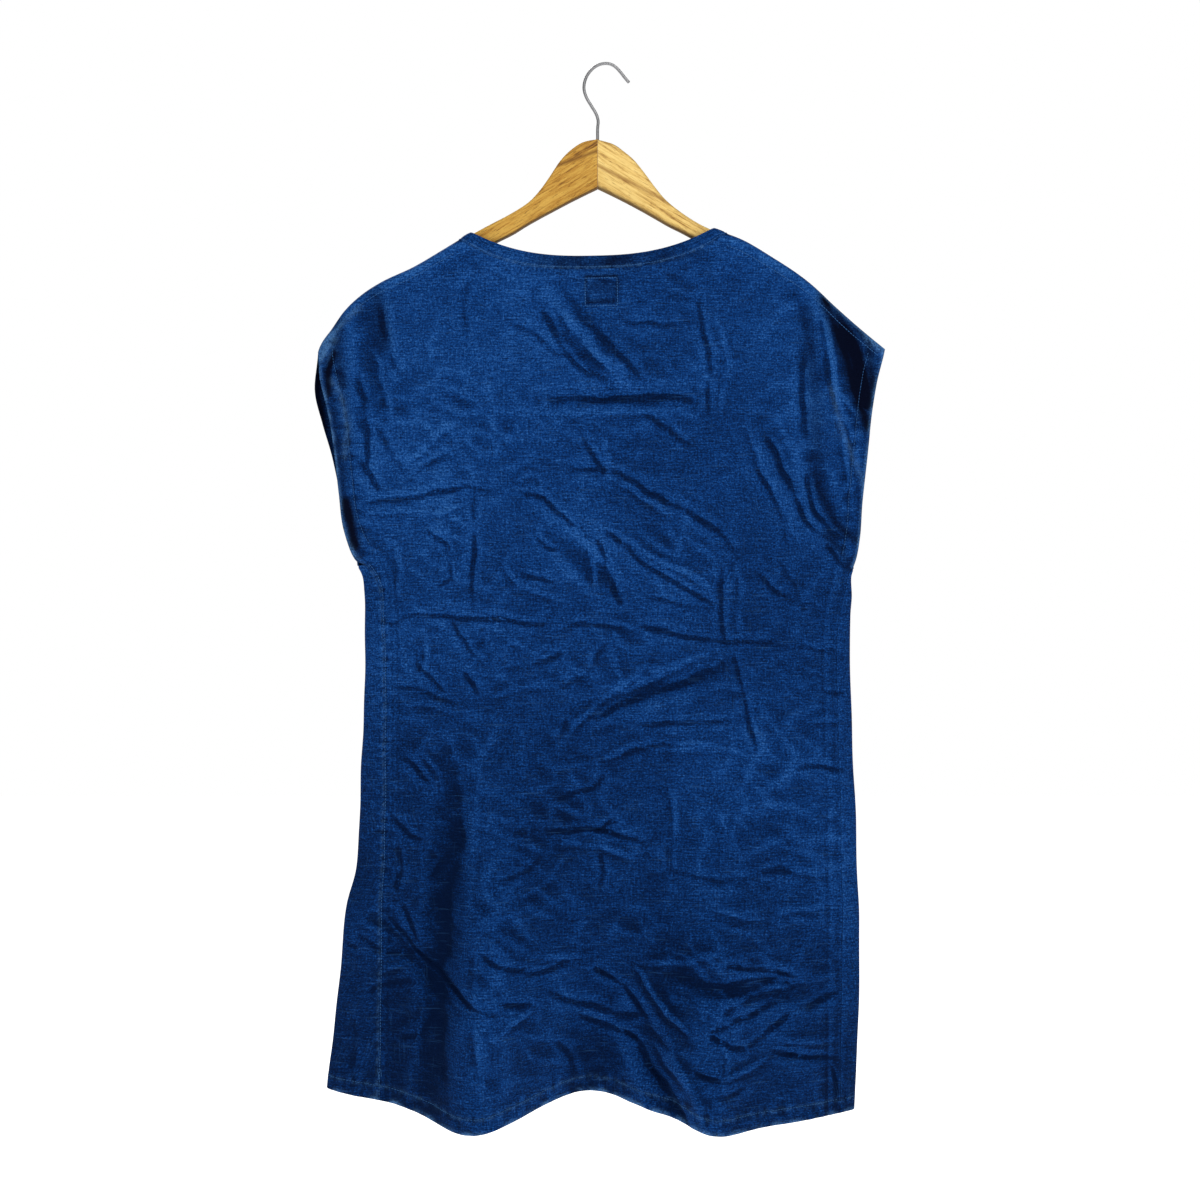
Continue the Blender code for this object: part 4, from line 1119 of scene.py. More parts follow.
# %% The strip round the neck
near_seam = np.array([0.0, 1.2, 2.8, 4.6, 6.6, 9.0])
across_neck = np.linspace(BAND_LEFT + 12.0, BAND_RIGHT - 12.0, 96)
neck_x = np.concatenate([BAND_LEFT + near_seam, across_neck, BAND_RIGHT - near_seam[::-1]])
last_x = len(neck_x) - 1
neck_sections = [binding_section(BACK, x, i in (0, last_x)) for i, x in enumerate(neck_x)]
neck_sections += [binding_section(FRONT, x, False) for x in neck_x[-2:0:-1]]
neck_binding = ring_loft("neck_strip", neck_sections)
loop_uv(neck_binding, neck_sections)
print("neck strip:", len(neck_sections), "sections,", triangle_count(neck_binding), "triangles")

# %% [markdown]
# ## Stitches
# The sewing is what shows that this is made of cloth. Each stitch is a small rounded thread that
# leaves the cloth, lies on it and goes back in. One function walks along a line on the surface
# and lays a stitch every 3 mm or so, so the hem, the armholes, the seams and the neck are all
# sewn the same way, each line as one mesh of threads.

# %% One stitch, and a line of them
SIDES = 5
# Share of the stitch's length, lift in thread radii and thickness at each ring
STITCH_FORM = (
    (0.0, -0.5, 0.55),
    (0.14, 0.35, 1.0),
    (0.5, 0.75, 1.0),
    (0.86, 0.35, 1.0),
    (1.0, -0.5, 0.55),
)
STITCH_POINTS = len(STITCH_FORM) * SIDES


def stitch_faces(first):
    """The sides of one thread and its two ends."""
    rings = np.arange(STITCH_POINTS).reshape(-1, SIDES) + first
    sides = quads(np.pad(rings, ((0, 0), (0, 1)), mode="wrap"))
    return sides + [rings[0, ::-1].tolist(), rings[-1].tolist()]


def stitch_rings(start, end, out, thread):
    """Rings of a thread that rises out of the cloth between two points."""
    run = end - start
    length = np.linalg.norm(run)
    along = run / length
    side = np.cross(along, out)
    side /= np.linalg.norm(side)
    rings = []
    for share, lift, size in STITCH_FORM:
        place = start + run * share + out * thread * lift
        for j in range(SIDES):
            angle = 2 * math.pi * j / SIDES
            off = side * math.cos(angle) + out * math.sin(angle)
            rings.append(place + off * thread * size)
    return rings


def sew(name, lines, pitch=3.1, thread=0.24, share=0.74):
    """Stitches along lines, each a pair of arrays in mm: points and outward directions."""
    verts = []
    faces = []
    for points, outs in lines:
        steps = np.linalg.norm(np.diff(points, axis=0), axis=1)
        passed = np.concatenate([[0.0], np.cumsum(steps)])

        def along_line(table, at):
            return np.array([np.interp(at, passed, table[:, k]) for k in range(3)])

        for start in np.arange(0.4, passed[-1] - pitch, pitch):
            out = along_line(outs, start)
            out /= np.linalg.norm(out)
            faces += stitch_faces(len(verts))
            end = along_line(points, start + pitch * share)
            rings = stitch_rings(along_line(points, start), end, out, thread)
            verts += [tuple(point * METRES) for point in rings]
    print(name, "has", len(verts) // STITCH_POINTS, "stitches")
    return smooth_object(name, verts, faces)


def on_cloth(point_at, across, down, lift=0.1):
    """A line on the cloth with its outward directions."""
    across, down = np.broadcast_arrays(np.asarray(across, float), np.asarray(down, float))
    step = 0.0015
    points = point_at(across, down)
    run = point_at(across + step, down) - point_at(across - step, down)
    fall = point_at(across, np.minimum(down + step, 1.0)) - point_at(across, down - step)
    outs = np.cross(fall, run)
    outs /= np.linalg.norm(outs, axis=1)[:, None]
    away = np.sign(points[:, 1:2] * outs[:, 1:2])
    outs = outs * np.where(away == 0, 1.0, away)
    return points + outs * lift, outs


def back_at(t, down):
    return cloth_point(BACK, t, down)


def front_at(t, down):
    return cloth_point(FRONT, t, down)


print("a stitch has", STITCH_POINTS, "points and", len(stitch_faces(0)), "faces")

# %% Sewing of the hem, the seams and the armholes
EVEN = np.linspace(0.0, 1.0, 420)
hem_back_t = blend(back_t[-1][1], back_t[-1][-2], EVEN)
hem_front_angle = blend(front_angle[-1][1], front_angle[-1][-2], EVEN)
hem_lines = [on_cloth(back_at, hem_back_t, HEM_ROW)]
hem_lines += [on_cloth(wrapped_point, hem_front_angle, HEM_ROW)]
hem_stitches = sew("hem_stitches", hem_lines)

seam_down = np.linspace(UNDERARM + 0.012, 0.998, 420)
seam_t = SIDE_STITCH / half_width(seam_down) - edge_t("back_left", seam_down)
seam_lines = [on_cloth(back_at, seam_t, seam_down)]
side_stitches = sew("side_seam_stitches", seam_lines, thread=0.30)

arm_down = np.linspace(0.02, UNDERARM - 0.004, 240)
arm_lines = []
for name, sign in (("back_left", -1.0), ("back_right", 1.0)):
    t = sign * (edge_t(name, arm_down) - ARM_STITCH / half_width(arm_down))
    arm_lines.append(on_cloth(back_at, t, arm_down))
for sign in (-1.0, 1.0):
    t = np.full(arm_down.shape, sign * (1 - ARM_STITCH / HALF_ACROSS))
    arm_lines.append(on_cloth(front_at, t, arm_down))
arm_stitches = sew("armhole_stitches", arm_lines)

# %% Sewing of the shoulders and the neck
shoulder_lines = []
for start, end in ((-284.0, BAND_LEFT - 2.0), (BAND_RIGHT + 2.0, 275.0)):
    t = t_of_top(np.linspace(start, end, 160))
    shoulder_lines.append(on_cloth(back_at, t, 12.4 / TALL))
shoulder_stitches = sew("shoulder_stitches", shoulder_lines, thread=0.32)

neck_lines = []
for side in (BACK, FRONT):
    points = []
    outs = []
    for x in np.linspace(BAND_LEFT + 3.0, BAND_RIGHT - 3.0, 260):
        section = np.array(binding_section(side, float(x), False))
        out = neck_normal(side, float(x), float(panel_top(side, x)))
        points.append(section[2] + out * 0.12)
        outs.append(out)
    neck_lines.append((np.array(points), np.array(outs)))
neck_stitches = sew("neck_stitches", neck_lines, pitch=2.8)

# %% [markdown]
# ## The stitched square and the bar tacks
# Under the neck at the back a square of stitches shows where something is sewn on inside, and
# a short dense bar of thread locks the side seams near the hem. The square's corners are a
# little uneven, as hand guided sewing is.

# %% Square and bars
ABOUT_HALF_ACROSS = 245.0
ABOUT_TALL = 850.0


def line_through(corners, count):
    """Points on the back cloth along straight runs between x, z corners, found by steps."""
    corners = np.array(corners, float)
    shares = np.linspace(0, len(corners) - 1, count)
    x = np.interp(shares, np.arange(len(corners)), corners[:, 0])
    z = np.interp(shares, np.arange(len(corners)), corners[:, 1])
    t = np.zeros(count)
    down = np.zeros(count)
    for _ in range(12):
        place = cloth_point(BACK, t, down)
        t = t + (x - place[:, 0]) / ABOUT_HALF_ACROSS
        down = down - (z - place[:, 2]) / ABOUT_TALL
    return on_cloth(back_at, t, down, lift=0.16)


SQUARE = [(-21, -215), (11, -214), (11.5, -242), (-20.5, -243), (-21, -215)]
tack_lines = [line_through(SQUARE, 260)]
square_stitches = sew("square_stitches", tack_lines, pitch=2.6, thread=0.36)
bars = []
for x, z in ((-223.5, -1000.0), (-226.0, -1003.0)):
    bars.append(line_through([(x, z), (x + 0.5, z - 9.0)], 30))
bar_stitches = sew("bar_tack", bars, pitch=1.1, thread=0.32, share=0.95)

# %% [markdown]
# ## Wooden hanger
# Two flat arms, each sawn to a gentle S, are glued in a mitre under the hook. A sawn board is
# its outline with a thickness, so each arm is drawn as one point that is pushed on along the
# solid's own edge points, closed to a face and extruded across. A bevel then rounds its rims by a
# few millimetres, as a router does, and leaves the mitre sharp.

# %% Edge points of the arms
ARM_THICK = 11.0
ARM_ROUND = 4.5
ARM_UNDER_CLOTH = 2.6
MITRE_X = -8.5
JOINT_GAP = 0.02
CROWN_TOP = -75.0
CROWN_LOW = -124.0
# Hanger arms: pairs of points on the upper and lower edge, from near the mitre to where the
# cloth covers them. A loop closes the round tip.
Pair = namedtuple("Pair", "top_x top_z low_x low_z")
LEFT_ARM = [
    Pair(-23.0, -78.0, -21.0, -130.0),
    Pair(-35.4, -86.0, -36.0, -137.5),
    Pair(-46.0, -97.0, -53.0, -146.5),
    Pair(-56.0, -112.0, -67.0, -154.0),
    Pair(-66.0, -126.0, -81.0, -162.0),
    Pair(-78.0, -138.5, -93.0, -169.5),
    Pair(-97.0, -150.5, -109.0, -177.5),
    Pair(-118.0, -161.5, -130.0, -189.0),
]
RIGHT_ARM = [
    Pair(7.0, -79.5, 4.0, -130.0),
    Pair(18.0, -87.0, 18.0, -137.0),
    Pair(28.5, -96.0, 34.0, -145.5),
    Pair(39.0, -109.0, 49.0, -154.0),
    Pair(49.0, -122.5, 62.0, -161.5),
    Pair(61.0, -136.5, 75.0, -168.0),
    Pair(79.0, -150.5, 90.0, -176.0),
    Pair(98.0, -161.8, 109.0, -185.5),
]
# Under the cloth an arm is told by its upper edge's x alone, with its drop to the lower edge
Covered = namedtuple("Covered", "top_x drop")
LEFT_COVERED = [
    Covered(-142.0, 19.5),
    Covered(-163.0, 19.0),
    Covered(-186.0, 18.5),
    Covered(-208.0, 17.5),
]
RIGHT_COVERED = [
    Covered(122.0, 21.0),
    Covered(143.0, 20.5),
    Covered(166.0, 20.0),
    Covered(188.0, 19.5),
]
ARM_LEAN = 9.0
TIP_LENGTH = 13.0
TIP_SHARES = (0.25, 0.45, 0.62, 0.76, 0.87, 0.95, 1.0)
print("pairs along the arms:", len(LEFT_ARM + LEFT_COVERED), len(RIGHT_ARM + RIGHT_COVERED))

# %% Outline of an arm
def between_pairs(pairs, steps):
    """A smooth curve through the given rows of numbers, as many steps between each two."""
    rows = np.array(pairs, float)
    padded = np.vstack([2 * rows[0] - rows[1], rows, 2 * rows[-1] - rows[-2]])
    result = []
    for i in range(1, len(padded) - 2):
        before, near, far, after = padded[i - 1 : i + 3]
        for s in np.arange(steps) / steps:
            result.append(
                0.5 * (2 * near + (far - before) * s)
                + 0.5 * (2 * before - 5 * near + 4 * far - after) * s**2
                + 0.5 * (3 * near - before - 3 * far + after) * s**3
            )
    result.append(padded[-2])
    return result


def arm_outline(start_x, table, covered):
    """Points in x and z: out along the top, round the tip and back along the bottom."""
    away = math.copysign(1.0, covered[-1].top_x)
    pairs = [tuple(pair) for pair in table]
    for row in covered:
        top_z = float(SHOULDER_AT(row.top_x)) - ARM_UNDER_CLOTH
        pairs.append((row.top_x, top_z, row.top_x - away * ARM_LEAN, top_z - row.drop))
    slope = (pairs[-1][1] - pairs[-2][1]) / (pairs[-1][0] - pairs[-2][0])
    last = pairs[-1]
    smooth = between_pairs([(start_x, CROWN_TOP, start_x, CROWN_LOW)] + pairs, 4)
    for share in TIP_SHARES:
        squeeze = 1 - 0.85 * (1 - math.sqrt(1 - share**2 * 0.96))
        run = away * TIP_LENGTH * share
        middle_x = (last[0] + last[2]) / 2 + run
        middle_z = (last[1] + last[3]) / 2 + run * slope
        half_x = (last[0] - last[2]) / 2 * squeeze
        half_z = (last[1] - last[3]) / 2 * squeeze
        upper = (middle_x + half_x, middle_z + half_z)
        smooth.append(upper + (middle_x - half_x, middle_z - half_z))
    return [(p[0], p[1]) for p in smooth] + [(p[2], p[3]) for p in smooth[::-1]]


left_outline = arm_outline(MITRE_X - JOINT_GAP / 2, LEFT_ARM, LEFT_COVERED)
right_outline = arm_outline(MITRE_X + JOINT_GAP / 2, RIGHT_ARM, RIGHT_COVERED)
print("points round the arms:", len(left_outline), len(right_outline))

# %% Draw the outline, thicken it and round its edges
def pick_edges(obj, wanted):
    """Selects the edges whose two ends pass the test, as a box selection does."""
    bpy.ops.mesh.select_mode(type="EDGE")
    bpy.ops.mesh.select_all(action="DESELECT")
    held = bmesh.from_edit_mesh(obj.data)
    for edge in held.edges:
        edge.select_set(wanted(edge.verts[0].co, edge.verts[1].co))
    held.select_flush_mode()
    bmesh.update_edit_mesh(obj.data)
    return sum(edge.select for edge in held.edges)


def start_piece(name):
    """Names the new primitive and settles it at the origin, ready to edit."""
    piece = bpy.context.object
    piece.name = name
    piece.data.name = name
    bpy.ops.object.transform_apply(location=True, rotation=True, scale=True)
    bpy.ops.object.mode_set(mode="EDIT")
    bpy.ops.mesh.select_mode(type="VERT")
    bpy.ops.mesh.select_all(action="SELECT")
    return piece


def make_arm(name, outline, mitre_x):
    corner = (outline[0][0] * METRES, -ARM_THICK / 2 * METRES, outline[0][1] * METRES)
    bpy.ops.object.select_all(action="DESELECT")
    bpy.ops.mesh.primitive_plane_add(size=0.002, location=corner)
    arm = start_piece(name)
    bpy.ops.mesh.merge(type="CENTER")
    for (x, z), (next_x, next_z) in zip(outline, outline[1:]):
        step = ((next_x - x) * METRES, 0.0, (next_z - z) * METRES)
        bpy.ops.mesh.extrude_vertices_move(TRANSFORM_OT_translate={"value": step})
    bpy.ops.mesh.select_all(action="SELECT")
    bpy.ops.mesh.edge_face_add()
    across = (0.0, ARM_THICK * METRES, 0.0)
    bpy.ops.mesh.extrude_region_move(TRANSFORM_OT_translate={"value": across})
    bpy.ops.mesh.select_all(action="SELECT")
    bpy.ops.mesh.normals_make_consistent(inside=False)

    def is_rim(a, b):
        off_mitre = max(abs(a.x - mitre_x * METRES), abs(b.x - mitre_x * METRES))
        return abs(a.y - b.y) < 1e-6 and off_mitre >= 1e-6

    rims = pick_edges(arm, is_rim)
    rounding = ARM_ROUND * METRES
    bpy.ops.mesh.bevel(offset=rounding, segments=7, affect="EDGES", clamp_overlap=True)
    bpy.ops.object.mode_set(mode="OBJECT")
    bpy.ops.object.shade_smooth_by_angle(angle=math.radians(40))
    print(name, "has", rims, "rounded edges and", len(arm.data.polygons), "faces")
    return arm


arm_left = make_arm("hanger_wood_left", left_outline, MITRE_X - JOINT_GAP / 2)
arm_right = make_arm("hanger_wood_right", right_outline, MITRE_X + JOINT_GAP / 2)

# %% [markdown]
# ## Hook
# The hook is one 3 mm steel wire, screwed into the crown, with a slight double bend at its foot
# and a round bow over the rail. A circle is extruded step by step along the wire's middle line
# and turned to face along it each time, as a wire is bent, which keeps it round. The last steps
# shrink the circle to a dome, because cut wire has its end rounded.

# %% Middle line of the wire
WIRE = 3.0
FOOT_LIFT = 0.3
HOOK = [
    Across(-8.4, -64.0),
    Across(-7.9, -56.0),
    Across(-9.9, -49.0),
    Across(-14.4, -41.5),
    Across(-19.6, -32.5),
    Across(-22.0, -24.0),
    Across(-21.0, -15.6),
    Across(-17.2, -8.0),
    Across(-11.6, -2.3),
    Across(-5.6, 0.7),
    Across(0.3, 1.5),
    Across(5.6, 0.4),
    Across(10.4, -2.8),
    Across(14.8, -7.6),
    Across(18.7, -12.6),
    Across(22.8, -17.4),
]


def wire_route():
    """Smooth points along the middle of the wire, in mm."""
    foot = (HOOK[0].x, CROWN_TOP + FOOT_LIFT)
    return np.array(between_pairs([foot] + [tuple(row) for row in HOOK], 6))


route = wire_route() * METRES
length = np.linalg.norm(np.diff(route, axis=0), axis=1).sum()
print("wire of", round(float(length) * 1000), "mm")

# %% Bent wire
def heading(route, i):
    """Angle of the wire at a point, from straight up towards plus x."""
    ahead = route[min(i + 1, len(route) - 1)] - route[max(i - 1, 0)]
    return math.atan2(ahead[0], ahead[1])


def push_on(step):
    bpy.ops.mesh.extrude_region_move(TRANSFORM_OT_translate={"value": (step[0], 0.0, step[1])})


DOME = 0.0005
radius = WIRE / 2 * METRES
foot = (route[0][0], 0.0, route[0][1])
bpy.ops.object.select_all(action="DESELECT")
bpy.ops.mesh.primitive_circle_add(vertices=18, radius=radius, fill_type="NGON", location=foot)
hook = start_piece("hook_wire")
faced = 0.0
for i in range(1, len(route)):
    push_on(route[i] - route[i - 1])
    turn = heading(route, i) - faced
    faced += turn
    at = (route[i][0], 0.0, route[i][1])
    bpy.ops.transform.rotate(value=-turn, orient_axis="Y", center_override=at)
toward = np.array([math.sin(faced), math.cos(faced)])
tip = route[-1].copy()
size = 1.0
for lift in (0.35, 0.65, 0.85, 0.97):
    step = toward * lift * DOME - (tip - route[-1])
    push_on(step)
    tip += step
    smaller = math.sqrt(1 - lift**2) / size
    size *= smaller
    at = (tip[0], 0.0, tip[1])
    bpy.ops.transform.resize(value=(smaller, smaller, smaller), center_override=at)
bpy.ops.mesh.select_all(action="SELECT")
bpy.ops.mesh.normals_make_consistent(inside=False)
bpy.ops.object.mode_set(mode="OBJECT")
bpy.ops.object.shade_smooth_by_angle(angle=math.radians(50))
print("hook:", triangle_count(hook), "triangles")

# %% [markdown]
# ## Finishes
# A finish is a small graph of nodes. To keep each one short, a socket is wrapped in a class whose
# operators add Math nodes, so a mask reads as a sum or a product. Every other node comes from one
# method that takes its type, its settings and its sockets.

# %% Shader helpers
class Value:
    """A socket in a finish. Its operators add Math nodes."""

    def __init__(self, finish, socket):
        self.finish = finish
        self.socket = socket

    def math(self, operation, *others):
        return self.finish.node("ShaderNodeMath", {"operation": operation}, [self, *others])

    def __add__(self, other):
        return self.math("ADD", other)

    def __sub__(self, other):
        return self.math("SUBTRACT", other)

    def __mul__(self, other):
        return self.math("MULTIPLY", other)

    def __truediv__(self, other):
        return self.math("DIVIDE", other)

    def __rsub__(self, other):
        return self.finish.node("ShaderNodeMath", {"operation": "SUBTRACT"}, [other, self])

    __radd__ = __add__
    __rmul__ = __mul__

    def between(self, low=0.0, high=1.0):
        """How far the value is from low to high, kept from 0 to 1."""
        sockets = {"Value": self, "From Min": low, "From Max": high}
        return self.finish.node("ShaderNodeMapRange", {"clamp": True}, sockets)

    def near(self, middle, reach):
        """1 where the value is this middle, falling to 0 at its reach on each side."""
        return 1.0 - ((self - middle).math("ABSOLUTE") / reach).between()


class Finish:
    """A material in the making."""

    def __init__(self, name):
        self.material = bpy.data.materials.new(name)
        self.material.use_nodes = True
        self.tree = self.material.node_tree
        self.shader = self.tree.nodes["Principled BSDF"]

    def plug(self, socket, value):
        if isinstance(value, Value):
            self.tree.links.new(value.socket, socket)
        else:
            socket.default_value = value

    def node(self, kind, settings, sockets, out=0):
        """A node of this type: its settings first, then its sockets, by name or in order."""
        made = self.tree.nodes.new(kind)
        for key, value in settings.items():
            if key == "stops":
                ends = made.color_ramp.elements
                ends[0].position, ends[0].color = value[0]
                ends[1].position, ends[1].color = value[-1]
                for place, colour in value[1:-1]:
                    ends.new(place).color = colour
            else:
                setattr(made, key, value)
        pairs = sockets.items() if isinstance(sockets, dict) else enumerate(sockets)
        for key, value in pairs:
            self.plug(made.inputs[key], value)
        return Value(self, made.outputs[out])

    def noise(self, vector, scale, detail=2.0, rough=0.5):
        sockets = {"Vector": vector, "Scale": scale, "Detail": detail, "Roughness": rough}
        return self.node("ShaderNodeTexNoise", {}, sockets)

    def stretched(self, vector, scale, turn=(0.0, 0.0, 0.0)):
        sockets = {"Vector": vector, "Scale": scale, "Rotation": turn}
        return self.node("ShaderNodeMapping", {}, sockets)

    def mix(self, share, first, second):
        sockets = {0: share, 6: first, 7: second}
        return self.node("ShaderNodeMix", {"data_type": "RGBA"}, sockets, out=2)

    def ramp(self, value, stops):
        return self.node("ShaderNodeValToRGB", {"stops": stops}, [value])

    def object_place(self):
        """The point in the object's own metres."""
        return self.node("ShaderNodeTexCoord", {}, {}, out=3)

    def part(self, vector, axis):
        """One number of a vector: 0 is x, 1 is y and 2 is z."""
        return self.node("ShaderNodeSeparateXYZ", {}, [vector], out=axis)

    def stored(self, name):
        """A number that each point of the mesh carries."""
        return self.node("ShaderNodeAttribute", {"attribute_name": name}, {}, out=2)

    def bump(self, height, distance, strength=1.0, under=None):
        sockets = {"Height": height, "Distance": distance, "Strength": strength}
        if under is not None:
            sockets["Normal"] = under
        return self.node("ShaderNodeBump", {}, sockets)

    def base(self, **values):
        for key, value in values.items():
            self.plug(self.shader.inputs[key.replace("_", " ").title()], value)


print("helpers ready")

# %% [markdown]
# ## Indigo cloth
# The cloth is a plain weave of slubby cotton and linen yarn, dyed with indigo. Indigo sits on the
# outside of a yarn, so it pales where the cloth rubs: on the edges of folds, at the hem and on the
# seams. The yarns vary in thickness, which shows as short pale and dark dashes, mostly across the
# cloth. The lower half is a darker navy than the top. Painted shade darkens the troughs of the
# creases, and a few stretches of the back carry painted light and painted shade.

# %% Yarns of the weave
def yarns(f, uv):
    """Weft, warp, their thick places and the grain of single threads, each from 0 to 1."""
    weft = f.noise(f.stretched(uv, (60.0, 760.0, 1.0)), 1.0, 3.0, 0.6)
    warp = f.noise(f.stretched(uv, (820.0, 70.0, 1.0)), 1.0, 3.0, 0.6)
    slub = f.noise(f.stretched(uv, (30.0, 640.0, 1.0)), 1.0, 1.0, 0.4)
    warp_slub = f.noise(f.stretched(uv, (640.0, 26.0, 1.0)), 1.0, 1.0, 0.4)
    grain = f.noise(f.stretched(uv, (430.0, 560.0, 1.0)), 1.0, 3.0, 0.85)
    return weft, warp, slub, warp_slub, grain


def crossing(f, uv, direction):
    """Regular bands of the yarns that run one way."""
    sockets = {"Vector": uv, "Scale": 400.0, "Distortion": 1.2, "Detail": 1.0}
    return f.node("ShaderNodeTexWave", {"bands_direction": direction}, sockets)


print("yarns ready")

# %% Tone of the dyed cloth
def crinkles(f, place, cloud):
    """Fine crinkling and thin crease lines of the washed cloth."""
    crinkle = f.noise(f.stretched(place, (1.0, 1.0, 1.6), (0.0, 0.5, 0.0)), 120.0, 4.0, 0.65)
    fold = f.noise(f.stretched(place, (1.0, 1.0, 2.4), (0.0, -0.6, 0.0)), 46.0, 3.0, 0.6)
    other = f.noise(f.stretched(place, (1.0, 1.0, 2.2), (0.0, 0.9, 0.0)), 58.0, 2.0, 0.55)
    sharp = fold.near(0.5, 1 / 14)
    thin = other.near(0.5, 1 / 16)
    lines = sharp * (cloud * 1.6 - 0.3).between() + thin * (1.3 - cloud * 1.6).between() * 0.7
    return crinkle, lines


def tone_with_painted_light_and_shade(f, place):
    """Darker and paler stretches of the dress, told by place in metres: paler at the top and darker
    low down, with painted shadow down the fold at the left of the back and along its left edge, and
    a painted pool of light low on its right.
    """
    across, deep, height = (f.part(place, axis) for axis in (0, 1, 2))
    upper = ((height + 0.62) / 0.36).between()
    lower = ((-0.72 - height) / 0.33).between()
    back = (deep * -60.0 + 0.5).between()
    # The band and the strip are painted shade and the patch is painted light, all on the back.
    painted_shadow_band = across.near(-0.170, 0.055) * ((-0.58 - height) / 0.20).between() * back
    patch = ((across - 0.064) / 0.004).between() * ((-0.62 - height) / 0.06).between()
    patch = patch * ((height + 0.88) / 0.10).between() * back
    strip = ((-0.19 - across) / 0.03).between() * ((-0.60 - height) / 0.2).between() * back
    return upper * 0.10 - lower * 0.13 - painted_shadow_band * 0.28 + patch * 0.12 - strip * 0.14


print("tone ready")

# %% Cloth finish
DYE = [
    (0.0, (0.0007, 0.0070, 0.034)),
    (0.30, (0.0014, 0.0165, 0.078)),
    (0.52, (0.0027, 0.0330, 0.152)),
    (0.74, (0.0062, 0.0600, 0.250)),
    (1.0, (0.0300, 0.1350, 0.400)),
]
PALE_YARN = (0.05, 0.18, 0.46, 1.0)
DEEP_SHADE = (0.0007, 0.0020, 0.0105, 1.0)
WORN = (0.075, 0.205, 0.45, 1.0)


def cloth_finish(name, shade):
    f = Finish(name)
    uv = f.node("ShaderNodeUVMap", {"uv_map": "cloth"}, {})
    place = f.object_place()
    weft, warp, slub, warp_slub, grain = yarns(f, uv)
    cloud = f.noise(place, 9.0, 3.0, 0.6)
    broad = f.noise(place, 3.2, 1.0, 0.5)
    crinkle, lines = crinkles(f, place, cloud)
    value = 0.50 + (weft - 0.5) * 0.95 + (warp - 0.5) * 0.65 + (grain - 0.5) * 2.3
    # The thin crease lines darken the colour a little: painted shade.
    value = value + (cloud - 0.5) * 0.48 + (broad - 0.5) * 0.42 - lines * 0.07
    value = value + tone_with_painted_light_and_shade(f, place)
    # Relief and crease make the cloth paler where it stands out, as worn indigo is, and darker in
    # its troughs, which is painted shade.
    value = value + (f.stored("relief") * 0.50).between(-1.0, 1.0) * 0.38 - 0.21
    value = value + (f.stored("crease") * 3.2).between(-1.0, 0.4) * 0.30 - 0.25
    stops = [(at, tuple(c * shade for c in colour) + (1.0,)) for at, colour in DYE]
    colour = f.ramp(value, stops)
    pale = (slub - 0.64).between(0.0, 0.12) * 0.16 + (warp_slub - 0.66).between(0.0, 0.12) * 0.10
    colour = f.mix(pale, colour, PALE_YARN)
    # Painted shade: the marked places are mixed towards near black.
    dark = (f.stored("shade") * (1.75 - grain * 0.6)).between()
    colour = f.mix(dark, colour, DEEP_SHADE)
    wear = f.stored("wear") * (0.30 + (grain - 0.42).between(0.0, 0.16) * 0.70)
    colour = f.mix(wear, colour, WORN)
    yarn = crossing(f, uv, "Y") * 0.5 + crossing(f, uv, "X") * 0.5
    yarn = yarn + weft * 1.2 + warp * 0.8 + slub * 1.0
    soft = f.bump(crinkle * 0.8 - lines * 0.22, 0.0042, 1.0)
    f.base(Base_Color=colour, Roughness=0.86, Normal=f.bump(yarn, 0.00022, 0.9, under=soft))
    f.shader.inputs["Specular IOR Level"].default_value = 0.04
    f.shader.inputs["Sheen Weight"].default_value = 0.04
    f.shader.inputs["Sheen Roughness"].default_value = 0.45
    f.shader.inputs["Sheen Tint"].default_value = (0.03, 0.20, 0.75, 1.0)
    return f.material


cloth_material = cloth_finish("indigo_cloth", 1.0)
binding_material = cloth_finish("indigo_binding", 0.86)
print("cloth and binding:", len(cloth_material.node_tree.nodes), "nodes each")

# %% [markdown]
# ## Wear and shade of single places
# Indigo wears pale along rubbed edges. The deep folds under the shoulder tips, the armholes and the
# cloth just under the neck strip lie in shadow, so painted shade darkens them, the deepest almost
# to black. These marks belong to single places, so each point of a cloth carries two numbers, wear
# and shade, that the finish reads. A mark is a line of x, z points with a strength and a width, and
# it fades smoothly to its sides.

# %% Marks
Mark = namedtuple("Mark", "strength width points")
TIP_WEAR = [
    Mark(1.4, 6, ((-285, -290), (-281, -282), (-276, -273))),
    Mark(1.2, 5, ((278, -284), (272, -279), (264, -272))),
    Mark(0.5, 3, ((-275, -272), (-262, -258), (-246, -243))),
    Mark(0.35, 3, ((-272, -316), (-261, -338), (-257, -365), (-260, -392))),
    Mark(0.30, 3, ((224, -322), (234, -366), (249, -401), (256, -420))),
]
